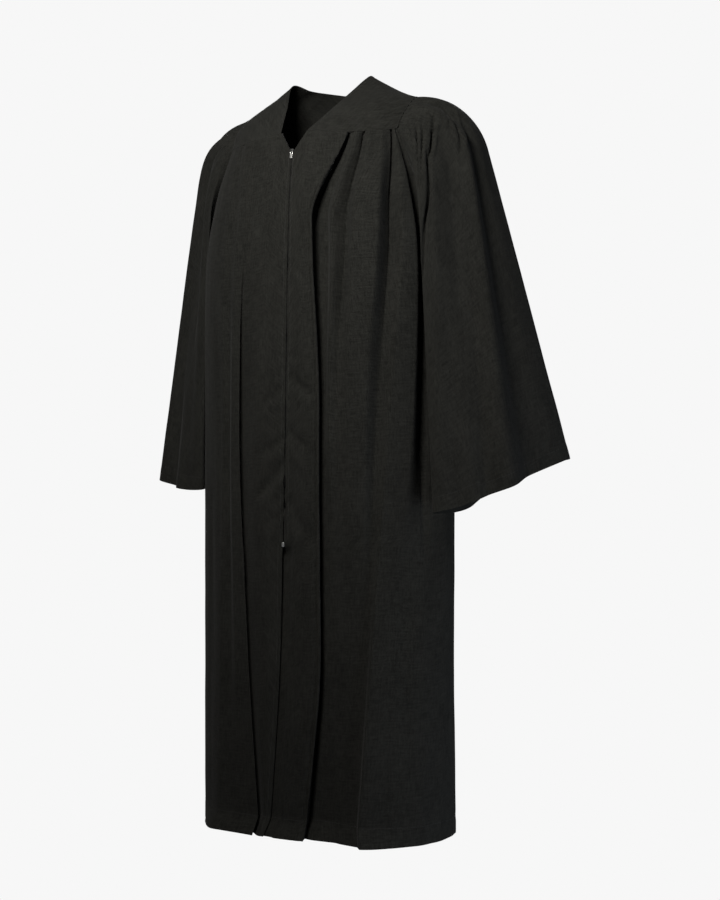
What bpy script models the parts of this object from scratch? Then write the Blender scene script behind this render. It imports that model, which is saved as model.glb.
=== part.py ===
"""Graduation gown: a yoked gown with a zip front and bell sleeves, standing hollow as it is worn.

Metres, +Z up. The front faces -Y and the wearer's left is +X. The origin is at the middle of the
neck, level with the high points of the shoulders, where a wearer carries the gown.

Every cloth piece is a grid laid on a plain base form. Its columns follow the fold lines of a short
table, so that each crest and each hollow is a line of the mesh.
"""

from collections import namedtuple
from math import cos, hypot, pi, radians, sin

import bmesh
import bpy
from mathutils import Matrix, Vector

NAME = "graduation_gown"

CLOTH = 0.0015
SEAM = 0.0003
MILLI = 0.001

# Partings between the outer faces at each seam. Where two walls meet at an angle, the wider
# parting keeps the seam's 0.3 mm between their inner edges.
YOKE_SEAM_FRONT = 0.0013
YOKE_SEAM_BACK = 0.0006
SIDE_SEAM = 0.0008
HEAD_SEAM = 0.0003
UNDERARM_SEAM = 0.0016
SLEEVE_LEAD_GAP = 0.0004

YOKE_LEVEL = -0.1125
YOKE_DIP = 0.007
UNDERARM_LEVEL = -0.350
HEM_LEVEL = -1.338
ARM_CORNER = 63.0
ARM_CURVE = 1.5
SIDE = 90.0

NECK_HALF = 0.079
NECK_BACK = 0.075
SHOULDER = Vector((0.177, 0.010, -0.0475))
V_EDGE = 7.9
V_POINT_LEVEL = -0.151
SEAM_FADE = 0.060
BACK_SEAM_DIP = 0.030

SLIT = 0.0012
ZIP_BOTTOM_LEVEL = -0.829

# Half widths and depths of the body at each level. The wearer's side is at 90 degrees.
Section = namedtuple("Section", "level half_width front back")
BODY = (
    Section(-0.1125, 0.191, 0.120, 0.108),
    Section(-0.200, 0.222, 0.132, 0.116),
    Section(-0.330, 0.2470, 0.140, 0.120),
    Section(-0.600, 0.2475, 0.146, 0.123),
    Section(-1.000, 0.2475, 0.150, 0.127),
    Section(HEM_LEVEL, 0.2475, 0.152, 0.130),
)

# Levels at which the fold tables give a line's angle and how far it stands out.
STATIONS = (-0.120, -0.270, -0.600, -1.000, HEM_LEVEL)

# Angles in degrees from the centre front, rises in millimetres off the base form.
Fold = namedtuple("Fold", "name yoke chest waist knee hem r_yoke r_chest r_waist r_knee r_hem")
FRONT_LEFT = (
    Fold("edge", 0.0, 0.0, -0.2, -1.0, -7.4, 0, 0, 0, -8, -20),
    Fold("placket", V_EDGE, 5.2, 8.0, 8.0, 1.0, 0, 2, 3, -6, -22),
    Fold("pleat_edge", 30.9, 11.6, 15.6, 16.8, 9.9, 2, 7, 8, -3, -24),
    Fold("pleat_under", 31.9, 10.2, 13.6, 14.4, 8.2, -1, -7, -8, -24, -48),
    Fold("swell", 35.5, 20.5, 23.5, 25.0, 19.5, 2, 5, 4, -9, -32),
    Fold("tuck", 40.0, 27.0, 29.0, 30.5, 25.0, -2, -6, -1, -4, -17),
    Fold("breast", 52.5, 44.5, 36.2, 34.0, 28.5, 3, 7, 5, 2, -6),
    Fold("hollow", 55.0, 49.0, 41.5, 36.6, 30.5, -1, -4, -3, 4, 0),
    Fold("skirt_crest", 57.2, 54.0, 48.0, 39.2, 32.6, 1, 0, 3, 8, 5),
    Fold("skirt_hollow", 59.0, 58.5, 56.0, 52.0, 48.0, -1, -4, -3, -3, -4),
    Fold("side_crest", 60.6, 63.5, 65.0, 63.0, 60.0, 1, 3, 3, 3, -1),
    Fold("side_hollow", 61.9, 68.5, 76.0, 76.0, 74.0, 0, -1, -3, -3, -9),
)
FRONT_RIGHT = (
    Fold("edge", 0.0, 0.0, 0.2, 1.0, 7.4, 0, 0, 0, -8, -20),
    Fold("placket", V_EDGE, 10.0, 11.0, 10.5, 9.6, 0, 2, 3, -4, -19),
    Fold("pleat_edge", 27.0, 22.3, 20.7, 18.4, 12.4, 2, 6, 7, 1, -12),
    Fold("pleat_under", 28.0, 21.2, 19.2, 17.0, 11.2, -1, -5, -7, -14, -28),
    Fold("swell", 32.5, 26.8, 25.4, 24.4, 20.0, 2, 4, 4, 1, -10),
    Fold("tuck", 37.0, 31.7, 30.4, 31.0, 30.0, -2, -5, -3, -3, -3),
    Fold("breast", 43.0, 37.5, 37.0, 37.5, 38.0, 3, 5, 4, 5, 6),
    Fold("hollow", 48.5, 43.4, 44.0, 44.5, 46.0, -1, -4, -3, -3, -3),
    Fold("skirt_crest", 53.5, 51.0, 53.0, 53.5, 54.0, 2, 3, 3, 4, 5),
    Fold("side_hollow", 57.8, 60.0, 64.0, 64.5, 65.0, -1, -2, -3, -4, -3),
    Fold("side_crest", 61.0, 67.5, 76.0, 77.0, 78.0, 1, 1, 2, 3, 4),
)
SIDE_RISE_LEFT = (0, 0, -3, -4, -12)
SIDE_RISE_RIGHT = (0, 0, 0, 1, 2)

# Crests of the back's gathers, in degrees from the centre back towards the wearer's right.
Gather = namedtuple("Gather", "yoke hem r_yoke r_chest r_hem")
BACK_CRESTS = (
    Gather(-54.0, -73.0, 2, 3, -5),
    Gather(-44.0, -56.0, 3, 6, 4),
    Gather(-33.0, -41.0, 2, 6, 7),
    Gather(-21.5, -24.0, 3, 9, 13),
    Gather(-8.0, -8.5, 3, 8, 10),
    Gather(7.0, 10.0, 3, 9, 12),
    Gather(20.0, 26.0, 3, 7, 9),
    Gather(32.0, 39.0, 2, 8, 11),
    Gather(43.5, 58.0, 3, 6, 7),
    Gather(54.5, 75.0, 2, 5, 6),
)
BACK_HOLLOW_SHARE = -0.7
BACK_LEVELS = (YOKE_LEVEL, -0.300, HEM_LEVEL)

SHOULDER_ALONG = 0.32
BACK_CORNER_ALONG = 0.58

# Ribs of the left half of the yoke: where each leaves the neck, where it ends, and its bulge.
Rib = namedtuple("Rib", "along neck end bulge")

# Guide lines of the left sleeve from below the shoulder to the hem, by angle round the arm:
# 0 is outermost, 90 the front, 180 the underarm and 270 the back.
Guide = namedtuple("Guide", "around upper hem lead lean")
SLEEVE = (
    Guide(0, (0.298, 0.040, -0.142), (0.427, 0.098, -0.683), (0.060, 0.000, 0.001), 0.060),
    Guide(30, (0.288, 0.004, -0.160), (0.389, 0.032, -0.708), (0.055, -0.008, -0.002), 0.060),
    Guide(60, (0.268, -0.032, -0.195), (0.343, -0.046, -0.742), (0.042, -0.018, -0.008), 0.055),
    Guide(90, (0.242, -0.062, -0.250), (0.297, -0.074, -0.762), (0.028, -0.018, -0.014), 0.050),
    Guide(120, (0.224, -0.072, -0.315), (0.251, -0.080, -0.772), (0.010, -0.016, -0.018), 0.040),
    Guide(150, (0.2525, -0.036, -0.385), (0.262, -0.030, -0.773), (0.008, -0.004, -0.018), 0.030),
    Guide(180, (0.2565, 0.008, -0.415), (0.264, 0.035, -0.766), (0.008, 0.001, -0.018), 0.025),
    Guide(210, (0.253, 0.052, -0.390), (0.264, 0.098, -0.748), (0.008, 0.006, -0.018), 0.030),
    Guide(240, (0.238, 0.090, -0.320), (0.275, 0.152, -0.728), (0.014, 0.016, -0.018), 0.040),
    Guide(270, (0.250, 0.106, -0.250), (0.318, 0.186, -0.702), (0.028, 0.022, -0.012), 0.050),
    Guide(300, (0.272, 0.096, -0.195), (0.368, 0.180, -0.689), (0.042, 0.018, -0.006), 0.055),
    Guide(330, (0.292, 0.072, -0.158), (0.409, 0.148, -0.683), (0.055, 0.008, -0.001), 0.060),
)

# How each sleeve hangs off the guides: its hem drawn in at the outside, let down there, and
# lifted at the inside and at the front, and its head let down off the shoulder.
Hang = namedtuple("Hang", "draw_upper draw_hem drop_outer lift_inner lift_front drop_head")
HANG = {
    "left": Hang(0.007, 0.009, 0.0, 0.0, 0.0, 0.0),
    "right": Hang(0.023, 0.047, 0.010, 0.040, 0.021, 0.016),
}
ELBOW_SHARE = 0.36
FLUTE_FADE = 0.05
TURN_STEP = 0.5
FALL_STEP = 0.01

# Fold lines of a sleeve, by angle round the arm at its head and at its hem.
Flute = namedtuple("Flute", "head hem r_head r_upper r_hem")
FLUTES = (
    Flute(0, 2, 3, 2, 1),
    Flute(12, 16, -3, -3, -2),
    Flute(24, 31, 4, 2, 0),
    Flute(35, 49, -3, -7, -30),
    Flute(46, 60, 4, 4, 4),
    Flute(57, 73, -3, -2, -3),
    Flute(68, 88, 4, 3, 2),
    Flute(79, 103, -3, -2, -2),
    Flute(92, 119, 3, 3, 2),
    Flute(128, 142, 0, 0, -1),
    Flute(160, 168, 0, 0, 0),
    Flute(200, 205, 0, 0, -2),
    Flute(236, 236, 1, 2, 3),
    Flute(262, 258, 3, 3, 5),
    Flute(274, 272, -3, -5, -12),
    Flute(286, 286, 4, 4, 6),
    Flute(298, 300, -3, -4, -10),
    Flute(310, 314, 4, 3, 4),
    Flute(322, 328, -3, -3, -6),
    Flute(334, 340, 4, 3, 3),
    Flute(347, 351, -3, -2, -2),
)

FRONT_ROWS = 16
BACK_ROWS = 15
SLEEVE_ROWS = 14
ROW_BIAS = 1.25
YOKE_ALONG = 18
YOKE_ACROSS = 6
PANEL_STEPS = 3
BACK_STEPS = 2
SLEEVE_STEPS = 2
TAPE_ROWS = 20
TAPE_COLUMNS = 2
WELD = 1e-5

TAPE_WIDTH = 0.012
TAPE_THICK = 0.0010
TAPE_PARTING = 0.0006
TAPE_BEHIND = 0.0009
TAPE_TOP_LEVEL = -0.1500
TAPE_END_LEVEL = ZIP_BOTTOM_LEVEL - 0.006

# Zip hardware, each in its own frame: -Y out of the cloth, -Z down along it. The slider's and
# the pull's frame is on the axis that the pull turns on.
TILT_STEP = 0.006
SLIDER_LEVEL = -0.1485
PIVOT_OUT = 0.0013
SLIDER_PROUD = 0.00035
SLIDER_THICK = 0.0018
SLIDER_TOP = 0.0055
SLIDER_BOTTOM = 0.0019
SLIDER_HALF_TOP = 0.0032
SLIDER_HALF_BOTTOM = 0.00075
BRIDGE_HALF_WIDTH = 0.0007
BRIDGE_HALF_LENGTH = 0.0017
BRIDGE_OUT = 0.0017
BRIDGE_EYE = 0.0009
BAR_HALF = 0.00055
PULL_THICK = 0.0010
PULL_HALF_WIDTH = 0.0025
PULL_LENGTH = 0.0120
PULL_WINDOW_HALF = 0.0011
PULL_WINDOW_LENGTH = 0.0029
STOP_HALF_WIDTH = 0.0024
STOP_LENGTH = 0.0080
STOP_THICK = 0.0020
STOP_BEVEL = 0.0004

Finish = namedtuple("Finish", "colour roughness metallic sheen")
BLACK_CLOTH = Finish((0.012, 0.012, 0.011), 0.85, 0.0, 0.2)
BLACK_TAPE = Finish((0.010, 0.010, 0.010), 0.75, 0.0, 0.1)
DARK_METAL = Finish((0.05, 0.05, 0.05), 0.45, 1.0, 0.0)
SILVER_METAL = Finish((0.65, 0.65, 0.63), 0.35, 1.0, 0.0)


def blend_stations(levels, values, level):
    """Smooth curve through the values given at falling levels, flat beyond its two ends."""
    last = len(levels) - 1
    if level >= levels[0]:
        return values[0]
    if level <= levels[last]:
        return values[last]
    k = 0
    while level < levels[k + 1]:
        k += 1
    span = levels[k + 1] - levels[k]
    share = (level - levels[k]) / span

    def slope(i):
        before = max(i - 1, 0)
        after = min(i + 1, last)
        return (values[after] - values[before]) / (levels[after] - levels[before])

    start = values[k]
    end = values[k + 1]
    rise_start = slope(k) * span
    rise_end = slope(k + 1) * span
    square = share * share
    cube = square * share
    return (
        start * (2 * cube - 3 * square + 1)
        + rise_start * (cube - 2 * square + share)
        + end * (3 * square - 2 * cube)
        + rise_end * (cube - square)
    )


def ease(share):
    """Half a cosine wave from 0 to 1."""
    share = min(max(share, 0.0), 1.0)
    return 0.5 - 0.5 * cos(pi * share)


def body_point(angle, level, rise=0.0):
    """Point of the base body at an angle from the centre front, moved out by the rise."""
    levels = [section.level for section in BODY]
    half_width = blend_stations(levels, [section.half_width for section in BODY], level)
    turn = radians(angle)
    if cos(turn) >= 0:
        depth = blend_stations(levels, [section.front for section in BODY], level)
    else:
        depth = blend_stations(levels, [section.back for section in BODY], level)
    across = depth * sin(turn)
    ahead = -half_width * cos(turn)
    size = hypot(across, ahead)
    return Vector((
        half_width * sin(turn) + rise * across / size,
        -depth * cos(turn) + rise * ahead / size,
        level,
    ))


def side_angle(level):
    """Angle of a panel's outer edge: along the armhole, then down the side seam."""
    share = (YOKE_LEVEL - level) / (YOKE_LEVEL - UNDERARM_LEVEL)
    share = min(max(share, 0.0), 1.0)
    return ARM_CORNER + (SIDE - ARM_CORNER) * share ** ARM_CURVE


def front_top(angle):
    """Top edge of a front panel at an angle from the centre: the V edge, then the yoke's seam."""
    if angle < V_EDGE:
        level = V_POINT_LEVEL + (YOKE_LEVEL - YOKE_SEAM_FRONT - V_POINT_LEVEL) * angle / V_EDGE
        return body_point(angle, level)
    inner = sin(radians(V_EDGE))
    outer = sin(radians(ARM_CORNER))
    across = min((sin(radians(angle)) - inner) / (outer - inner), 1.0)
    top = yoke_rib_point(yoke_ribs(), 0.0, across)
    top.z -= YOKE_SEAM_FRONT
    return top


def back_seam_level(angle):
    """Level of the yoke's seam across the back, lowest at the centre."""
    return YOKE_LEVEL - BACK_SEAM_DIP * cos(radians(min(abs(angle) / ARM_CORNER, 1.0) * SIDE))


def read_lines(lines, place):
    """Angle and rise at a place along the panel, counted in fold lines.

    Between a crest and a hollow the angle runs evenly and the rise follows half a cosine wave.
    """
    k = min(int(place), len(lines) - 2)
    share = place - k
    angle = lines[k][0] + (lines[k + 1][0] - lines[k][0]) * share
    rise = lines[k][1] + (lines[k + 1][1] - lines[k][1]) * ease(share)
    return angle, rise


def front_lines(folds, side_rise, level):
    """Angle and rise of each fold line of a front panel at one level."""
    lines = []
    for fold in folds:
        angle = blend_stations(STATIONS, fold[1:6], level)
        rise = blend_stations(STATIONS, fold[6:11], level) * MILLI
        lines.append((angle, rise))
    lines.append((side_angle(level), blend_stations(STATIONS, side_rise, level) * MILLI))
    return lines


def front_point(side, u, v):
    """Point of a front panel: u runs from the open edge to the side seam, v from yoke to hem."""
    folds = FRONT_LEFT if side > 0 else FRONT_RIGHT
    side_rise = SIDE_RISE_LEFT if side > 0 else SIDE_RISE_RIGHT
    place = u * len(folds)
    top_angle, _ = read_lines(front_lines(folds, side_rise, YOKE_LEVEL), place)
    top = front_top(top_angle)
    level = top.z + (HEM_LEVEL - top.z) * v ** ROW_BIAS
    angle, rise = read_lines(front_lines(folds, side_rise, level), place)
    point = body_point(angle, level, rise)
    point.y += (top.y - body_point(top_angle, top.z).y) * (1 - ease((top.z - level) / SEAM_FADE))
    edge = max(0.0, 1.0 - place)
    side_edge = max(0.0, place - len(folds) + 1)
    point.x += edge * SLIT / 2
    point.y -= side_edge * SIDE_SEAM / 2
    point.x *= side
    return point


def back_lines(level):
    """Angle and rise of each crest and hollow of the back panel at one level."""
    share = ease((YOKE_LEVEL - level) / (YOKE_LEVEL - HEM_LEVEL))
    edge = side_angle(level)
    left_rise = blend_stations(STATIONS, SIDE_RISE_LEFT, level) * MILLI
    right_rise = blend_stations(STATIONS, SIDE_RISE_RIGHT, level) * MILLI
    crests = [(
        gather.yoke + (gather.hem - gather.yoke) * share,
        blend_stations(BACK_LEVELS, gather[2:5], level) * MILLI,
    ) for gather in BACK_CRESTS]
    lines = [(-edge, left_rise)]
    for crest, following in zip(crests, crests[1:]):
        lines.append(crest)
        hollow = min(crest[1], following[1]) * BACK_HOLLOW_SHARE
        lines.append(((crest[0] + following[0]) / 2, hollow))
    lines.append(crests[-1])
    lines.append((edge, right_rise))
    return lines


def back_point(u, v):
    """Point of the back panel: u runs from the left side seam to the right, v from yoke to hem."""
    place = u * (len(BACK_CRESTS) * 2)
    top_angle, _ = read_lines(back_lines(YOKE_LEVEL), place)
    top = back_seam_level(top_angle) - YOKE_SEAM_BACK
    level = top + (HEM_LEVEL - top) * v ** ROW_BIAS
    angle, rise = read_lines(back_lines(level), place)
    point = body_point(180.0 + angle, level, rise)
    edge = max(0.0, 1.0 - place, place - len(BACK_CRESTS) * 2 + 1)
    point.y += edge * SIDE_SEAM / 2
    return point


def mirrored(point):
    """The point's fellow on the wearer's right."""
    return Vector((-point.x, point.y, point.z))


def yoke_ribs():
    """Ribs of the left half of the yoke from the front seam, over the shoulder, to the back.

    The last rib lies past the centre back, and only keeps the curve level as it crosses there.
    """
    front_neck = body_point(V_EDGE, YOKE_LEVEL)
    front_corner = body_point(ARM_CORNER, YOKE_LEVEL)
    back_corner = body_point(180.0 - ARM_CORNER, YOKE_LEVEL)
    back_mid = body_point(180.0 - ARM_CORNER / 2, back_seam_level(ARM_CORNER / 2))
    back_middle = body_point(180.0, back_seam_level(0.0))
    high_point = Vector((NECK_HALF, 0.010, 0.0))
    neck_side = Vector((0.064, 0.048, -0.004))
    neck_middle = Vector((0.0, NECK_BACK, -0.015))
    neck_quarter = neck_side.lerp(neck_middle, 0.70) + Vector((0.0, 0.008, 0.0))
    return (
        Rib(0.00, front_neck, front_corner, Vector((0.000, -0.019, -YOKE_DIP))),
        Rib(0.16, front_neck.lerp(high_point, 0.50), Vector((0.1735, -0.032, -0.078)),
            Vector((0.000, -0.014, 0.004))),
        Rib(SHOULDER_ALONG, high_point, SHOULDER, Vector((0.000, 0.000, -0.005))),
        Rib(0.44, neck_side, Vector((0.1740, 0.034, -0.072)), Vector((0.004, 0.010, 0.006))),
        Rib(BACK_CORNER_ALONG, neck_side.lerp(neck_middle, 0.35) + Vector((0.0, 0.008, 0.0)), back_corner,
            Vector((0.004, 0.014, 0.006))),
        Rib(0.78, neck_quarter, back_mid, Vector((0.000, 0.014, 0.004))),
        Rib(1.00, neck_middle, back_middle, Vector((0.000, 0.010, 0.002))),
        Rib(1.22, mirrored(neck_quarter), mirrored(back_mid), Vector((0.000, 0.014, 0.004))),
    )


def blend_ribs(ribs, read, along):
    """One vector of the ribs, blended smoothly at a place along the yoke."""
    places = [-rib.along for rib in ribs]
    return Vector([
        blend_stations(places, [read(rib)[axis] for rib in ribs], -along) for axis in range(3)
    ])


def yoke_rib_point(ribs, along, across):
    """Point on the yoke's left half: across runs from the neck to the armhole or back seam."""
    neck = blend_ribs(ribs, lambda rib: rib.neck, along)
    if along > BACK_CORNER_ALONG:
        angle = ARM_CORNER * (1 - along) / (1 - BACK_CORNER_ALONG)
        end = body_point(180.0 - angle, back_seam_level(angle))
    else:
        end = blend_ribs(ribs, lambda rib: rib.end, along)
    bulge = blend_ribs(ribs, lambda rib: rib.bulge, along)
    return neck.lerp(end, across) + bulge * (4 * across * (1 - across))


def yoke_point(u, v):
    """Point of the whole yoke: u runs from the left front end to the right, v out from the neck."""
    along = 2 * min(u, 1 - u)
    point = yoke_rib_point(yoke_ribs(), along, v)
    if u > 0.5:
        point.x = -point.x
    return point


def armhole_point(around):
    """Point of the left armhole: 0 at the shoulder, 90 front corner, 180 underarm, 270 back."""
    around %= 360.0
    behind = around > 180.0
    if behind:
        around = 360.0 - around
    if around <= 90.0:
        ribs = yoke_ribs()
        if behind:
            along = SHOULDER_ALONG + (BACK_CORNER_ALONG - SHOULDER_ALONG) * around / 90.0
        else:
            along = SHOULDER_ALONG * (1 - around / 90.0)
        return yoke_rib_point(ribs, along, 1.0)
    share = (around - 90.0) / 90.0
    level = YOKE_LEVEL + (UNDERARM_LEVEL - YOKE_LEVEL) * share
    angle = side_angle(level)
    return body_point(180.0 - angle if behind else angle, level)


def read_guides(read, around):
    """Smooth value round the sleeve from its guides, closed on itself."""
    step = SLEEVE[1].around - SLEEVE[0].around
    count = len(SLEEVE)
    place = (around % 360.0) / step
    k = int(place)
    share = place - k
    a, b, c, d = [Vector(read(SLEEVE[(k + i) % count])) for i in (-1, 0, 1, 2)]
    return 0.5 * (
        2 * b
        + (c - a) * share
        + (2 * a - 5 * b + 4 * c - d) * share ** 2
        + (3 * b - a - 3 * c + d) * share ** 3
    )


def sleeve_base(side, around, v):
    """Smooth sleeve without folds: a bend out of the armhole, then straight down to the hem."""
    upper = read_guides(lambda guide: guide.upper, around)
    hem = read_guides(lambda guide: guide.hem, around)
    lead = read_guides(lambda guide: guide.lead, around)
    lean = read_guides(lambda guide: (guide.lean, 0.0, 0.0), around).x
    hang = HANG["left" if side > 0 else "right"]
    outer = 0.5 + 0.5 * cos(radians(around))
    upper.x -= hang.draw_upper * outer
    hem.x -= hang.draw_hem * outer
    hem.z += hang.lift_inner * (1 - outer) - hang.drop_outer * outer
    hem.z += hang.lift_front * max(sin(radians(around)), 0.0)
    if v >= ELBOW_SHARE:
        share = (v - ELBOW_SHARE) / (1 - ELBOW_SHARE)
        return upper.lerp(hem, share)
    share = v / ELBOW_SHARE
    parting = HEAD_SEAM * outer + UNDERARM_SEAM * (1 - outer)
    start = armhole_point(around) + Vector((parting, 0, 0)) + lead.normalized() * SLEEVE_LEAD_GAP
    lead.z -= hang.drop_head * outer
    first = start + lead
    second = upper - (hem - upper).normalized() * lean
    rest = 1 - share
    return (
        start * rest ** 3
        + first * (3 * rest ** 2 * share)
        + second * (3 * rest * share ** 2)
        + upper * share ** 3
    )


def sleeve_point(side, u, v):
    """Point of a sleeve with its folds: u runs once round the arm, v from armhole to hem."""
    lines = []
    share = ease(v)
    for flute in FLUTES:
        rise = blend_stations((0.0, -ELBOW_SHARE, -1.0), flute[2:5], -v)
        lines.append((flute.head + (flute.hem - flute.head) * share, rise * MILLI))
    lines.append((lines[0][0] + 360.0, lines[0][1]))
    around, rise = read_lines(lines, u * len(FLUTES))
    rise *= ease(v / FLUTE_FADE)
    point = sleeve_base(side, around, v)
    along = sleeve_base(side, around + TURN_STEP, v) - sleeve_base(side, around - TURN_STEP, v)
    above = sleeve_base(side, around, max(v - FALL_STEP, 0.0))
    below = sleeve_base(side, around, min(v + FALL_STEP, 1.0))
    point += (below - above).cross(along).normalized() * rise
    point.x *= side
    return point


def add_material(name, finish):
    """Material of one piece: dyed cloth or plated metal, by its finish."""
    material = bpy.data.materials.new(name)
    material.use_nodes = True
    shader = material.node_tree.nodes["Principled BSDF"]
    shader.inputs["Base Color"].default_value = (*finish.colour, 1.0)
    shader.inputs["Roughness"].default_value = finish.roughness
    shader.inputs["Metallic"].default_value = finish.metallic
    shader.inputs["Sheen Weight"].default_value = finish.sheen
    return material


def add_object(collection, name, bm, finish):
    """New object of a finished bmesh, with a material of its own."""
    mesh = bpy.data.meshes.new(name)
    bm.to_mesh(mesh)
    bm.free()
    mesh.materials.append(add_material(name + "_surface", finish))
    piece = bpy.data.objects.new(name, mesh)
    collection.objects.link(piece)
    mesh.shade_smooth()
    return piece


def grid_cloth(collection, name, size, place, finish, thickness=CLOTH, flip=False, tube=False):
    """Cloth wall on a grid of columns and rows, behind the outer face that place(u, v) gives."""
    bm = bmesh.new()
    bmesh.ops.create_grid(bm, x_segments=size[0], y_segments=size[1], size=1.0)
    for vert in bm.verts:
        u = (vert.co.x + 1) / 2
        v = (1 - vert.co.y) / 2
        vert.co = place(u, v)
    if tube:
        bmesh.ops.remove_doubles(bm, verts=bm.verts[:], dist=WELD)
    if flip:
        bmesh.ops.reverse_faces(bm, faces=bm.faces[:])
    piece = add_object(collection, name, bm, finish)
    wall = piece.modifiers.new("wall", "SOLIDIFY")
    wall.thickness = thickness
    wall.offset = -1.0
    return piece


def box_piece(collection, name, low, high, finish, bevel=0.0):
    """Box between two corners in its own frame, with bevelled edges where a width is given."""
    bm = bmesh.new()
    bmesh.ops.create_cube(bm, size=1.0)
    middle = (Vector(low) + Vector(high)) / 2
    spread = Vector(high) - Vector(low)
    for vert in bm.verts:
        vert.co = Vector([vert.co[axis] * spread[axis] for axis in range(3)]) + middle
    piece = add_object(collection, name, bm, finish)
    if bevel:
        rounding = piece.modifiers.new("edges", "BEVEL")
        rounding.width = bevel
        rounding.segments = 2
    return piece


def combine(piece, other, operation):
    """Exact Boolean of a piece with another object, which becomes a hidden tool."""
    step = piece.modifiers.new(operation.lower(), "BOOLEAN")
    step.operation = operation
    step.solver = "EXACT"
    step.object = other
    other.hide_render = True
    other.display_type = "WIRE"


def opening_point(level):
    """Point on the line where the two fronts meet, on the outer face of the cloth."""
    angle, rise = front_lines(FRONT_LEFT, SIDE_RISE_LEFT, level)[0]
    return body_point(angle, level, rise)


def zip_place(level):
    """Place of zip hardware: on the cloth at the centre front, tilted to lie along it."""
    above = opening_point(level + TILT_STEP)
    below = opening_point(level - TILT_STEP)
    tilt = -(above.y - below.y) / (2 * TILT_STEP)
    return Matrix.Translation(opening_point(level)) @ Matrix.Rotation(tilt, 4, "X")


def build_slider(gown, tools):
    """Slider: a tapering body down in the V between the two edges, and its bridge."""
    place = zip_place(SLIDER_LEVEL) @ Matrix.Translation((0, -PIVOT_OUT, 0))
    bm = bmesh.new()
    bmesh.ops.create_cube(bm, size=1.0)
    front = PIVOT_OUT - SLIDER_PROUD
    for vert in bm.verts:
        half = SLIDER_HALF_TOP if vert.co.z > 0 else SLIDER_HALF_BOTTOM
        vert.co.x = half if vert.co.x > 0 else -half
        vert.co.y = front + SLIDER_THICK if vert.co.y > 0 else front
        vert.co.z = SLIDER_TOP if vert.co.z > 0 else -SLIDER_BOTTOM
    slider = add_object(gown, "zip_slider", bm, DARK_METAL)
    reach = BRIDGE_HALF_LENGTH
    bridge = box_piece(
        tools, "bridge", (-BRIDGE_HALF_WIDTH, -BRIDGE_OUT, -reach),
        (BRIDGE_HALF_WIDTH, front + SLIDER_THICK / 2, reach), DARK_METAL,
    )
    wide = BRIDGE_HALF_WIDTH * 2
    eye = box_piece(
        tools, "bridge_eye", (-wide, -BRIDGE_EYE, -BRIDGE_EYE), (wide, front, BRIDGE_EYE), DARK_METAL,
    )
    combine(slider, bridge, "UNION")
    combine(slider, eye, "DIFFERENCE")
    for piece in (slider, bridge, eye):
        piece.matrix_world = place


def build_pull(gown, tools):
    """Pull tab, hanging from its top bar through the bridge; its origin is on the bar's axis."""
    place = zip_place(SLIDER_LEVEL) @ Matrix.Translation((0, -PIVOT_OUT, 0))
    half = PULL_THICK / 2
    pull = box_piece(
        gown, "zip_pull", (-PULL_HALF_WIDTH, -half, -PULL_LENGTH),
        (PULL_HALF_WIDTH, half, BAR_HALF), SILVER_METAL,
    )
    window = box_piece(
        tools, "pull_window", (-PULL_WINDOW_HALF, -PULL_THICK, -PULL_WINDOW_LENGTH),
        (PULL_WINDOW_HALF, PULL_THICK, -BAR_HALF), SILVER_METAL,
    )
    combine(pull, window, "DIFFERENCE")
    for piece in (pull, window):
        piece.matrix_world = place


def build_bottom_stop(gown):
    """Stop box clamped over the lower end of the zip, proud of the two front edges."""
    stop = box_piece(
        gown, "zip_bottom_stop", (-STOP_HALF_WIDTH, -SEAM - STOP_THICK, -STOP_LENGTH / 2),
        (STOP_HALF_WIDTH, -SEAM, STOP_LENGTH / 2), SILVER_METAL, STOP_BEVEL,
    )
    stop.matrix_world = zip_place(ZIP_BOTTOM_LEVEL)


def tape_point(side, u, v):
    """Point of a zip tape: the front panel's own points, moved in behind its wall."""
    folds = FRONT_LEFT if side > 0 else FRONT_RIGHT
    side_rise = SIDE_RISE_LEFT if side > 0 else SIDE_RISE_RIGHT
    level = TAPE_TOP_LEVEL + (TAPE_END_LEVEL - TAPE_TOP_LEVEL) * v
    lines = front_lines(folds, side_rise, level)
    width = radians(lines[1][0] - lines[0][0]) * BODY[2].half_width
    angle, rise = read_lines(lines, u * TAPE_WIDTH / width)
    point = body_point(angle, level, rise - CLOTH - TAPE_BEHIND)
    point.x += (1 - u) * TAPE_PARTING / 2
    point.x *= side
    return point


def build():
    """Make every piece of the gown in a collection of its own."""
    for leftover in list(bpy.data.objects):
        bpy.data.objects.remove(leftover)
    gown = bpy.data.collections.new(NAME)
    tools = bpy.data.collections.new("cutters")
    bpy.context.scene.collection.children.link(gown)
    bpy.context.scene.collection.children.link(tools)
    grid_cloth(gown, "yoke", (YOKE_ALONG * 2, YOKE_ACROSS), yoke_point, BLACK_CLOTH)
    for side, name in ((1, "left"), (-1, "right")):
        folds = FRONT_LEFT if side > 0 else FRONT_RIGHT
        grid_cloth(
            gown, "front_" + name, (len(folds) * PANEL_STEPS, FRONT_ROWS),
            lambda u, v, side=side: front_point(side, u, v), BLACK_CLOTH, flip=side < 0,
        )
        grid_cloth(
            gown, "sleeve_" + name, (len(FLUTES) * SLEEVE_STEPS, SLEEVE_ROWS),
            lambda u, v, side=side: sleeve_point(side, u, v), BLACK_CLOTH, flip=side > 0, tube=True,
        )
        grid_cloth(
            gown, "zip_tape_" + name, (TAPE_COLUMNS, TAPE_ROWS),
            lambda u, v, side=side: tape_point(side, u, v), BLACK_TAPE, TAPE_THICK, flip=side < 0,
        )
    back_columns = len(BACK_CRESTS) * 2 * BACK_STEPS
    grid_cloth(gown, "back", (back_columns, BACK_ROWS), back_point, BLACK_CLOTH)
    build_slider(gown, tools)
    build_pull(gown, tools)
    build_bottom_stop(gown)


build()
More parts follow.
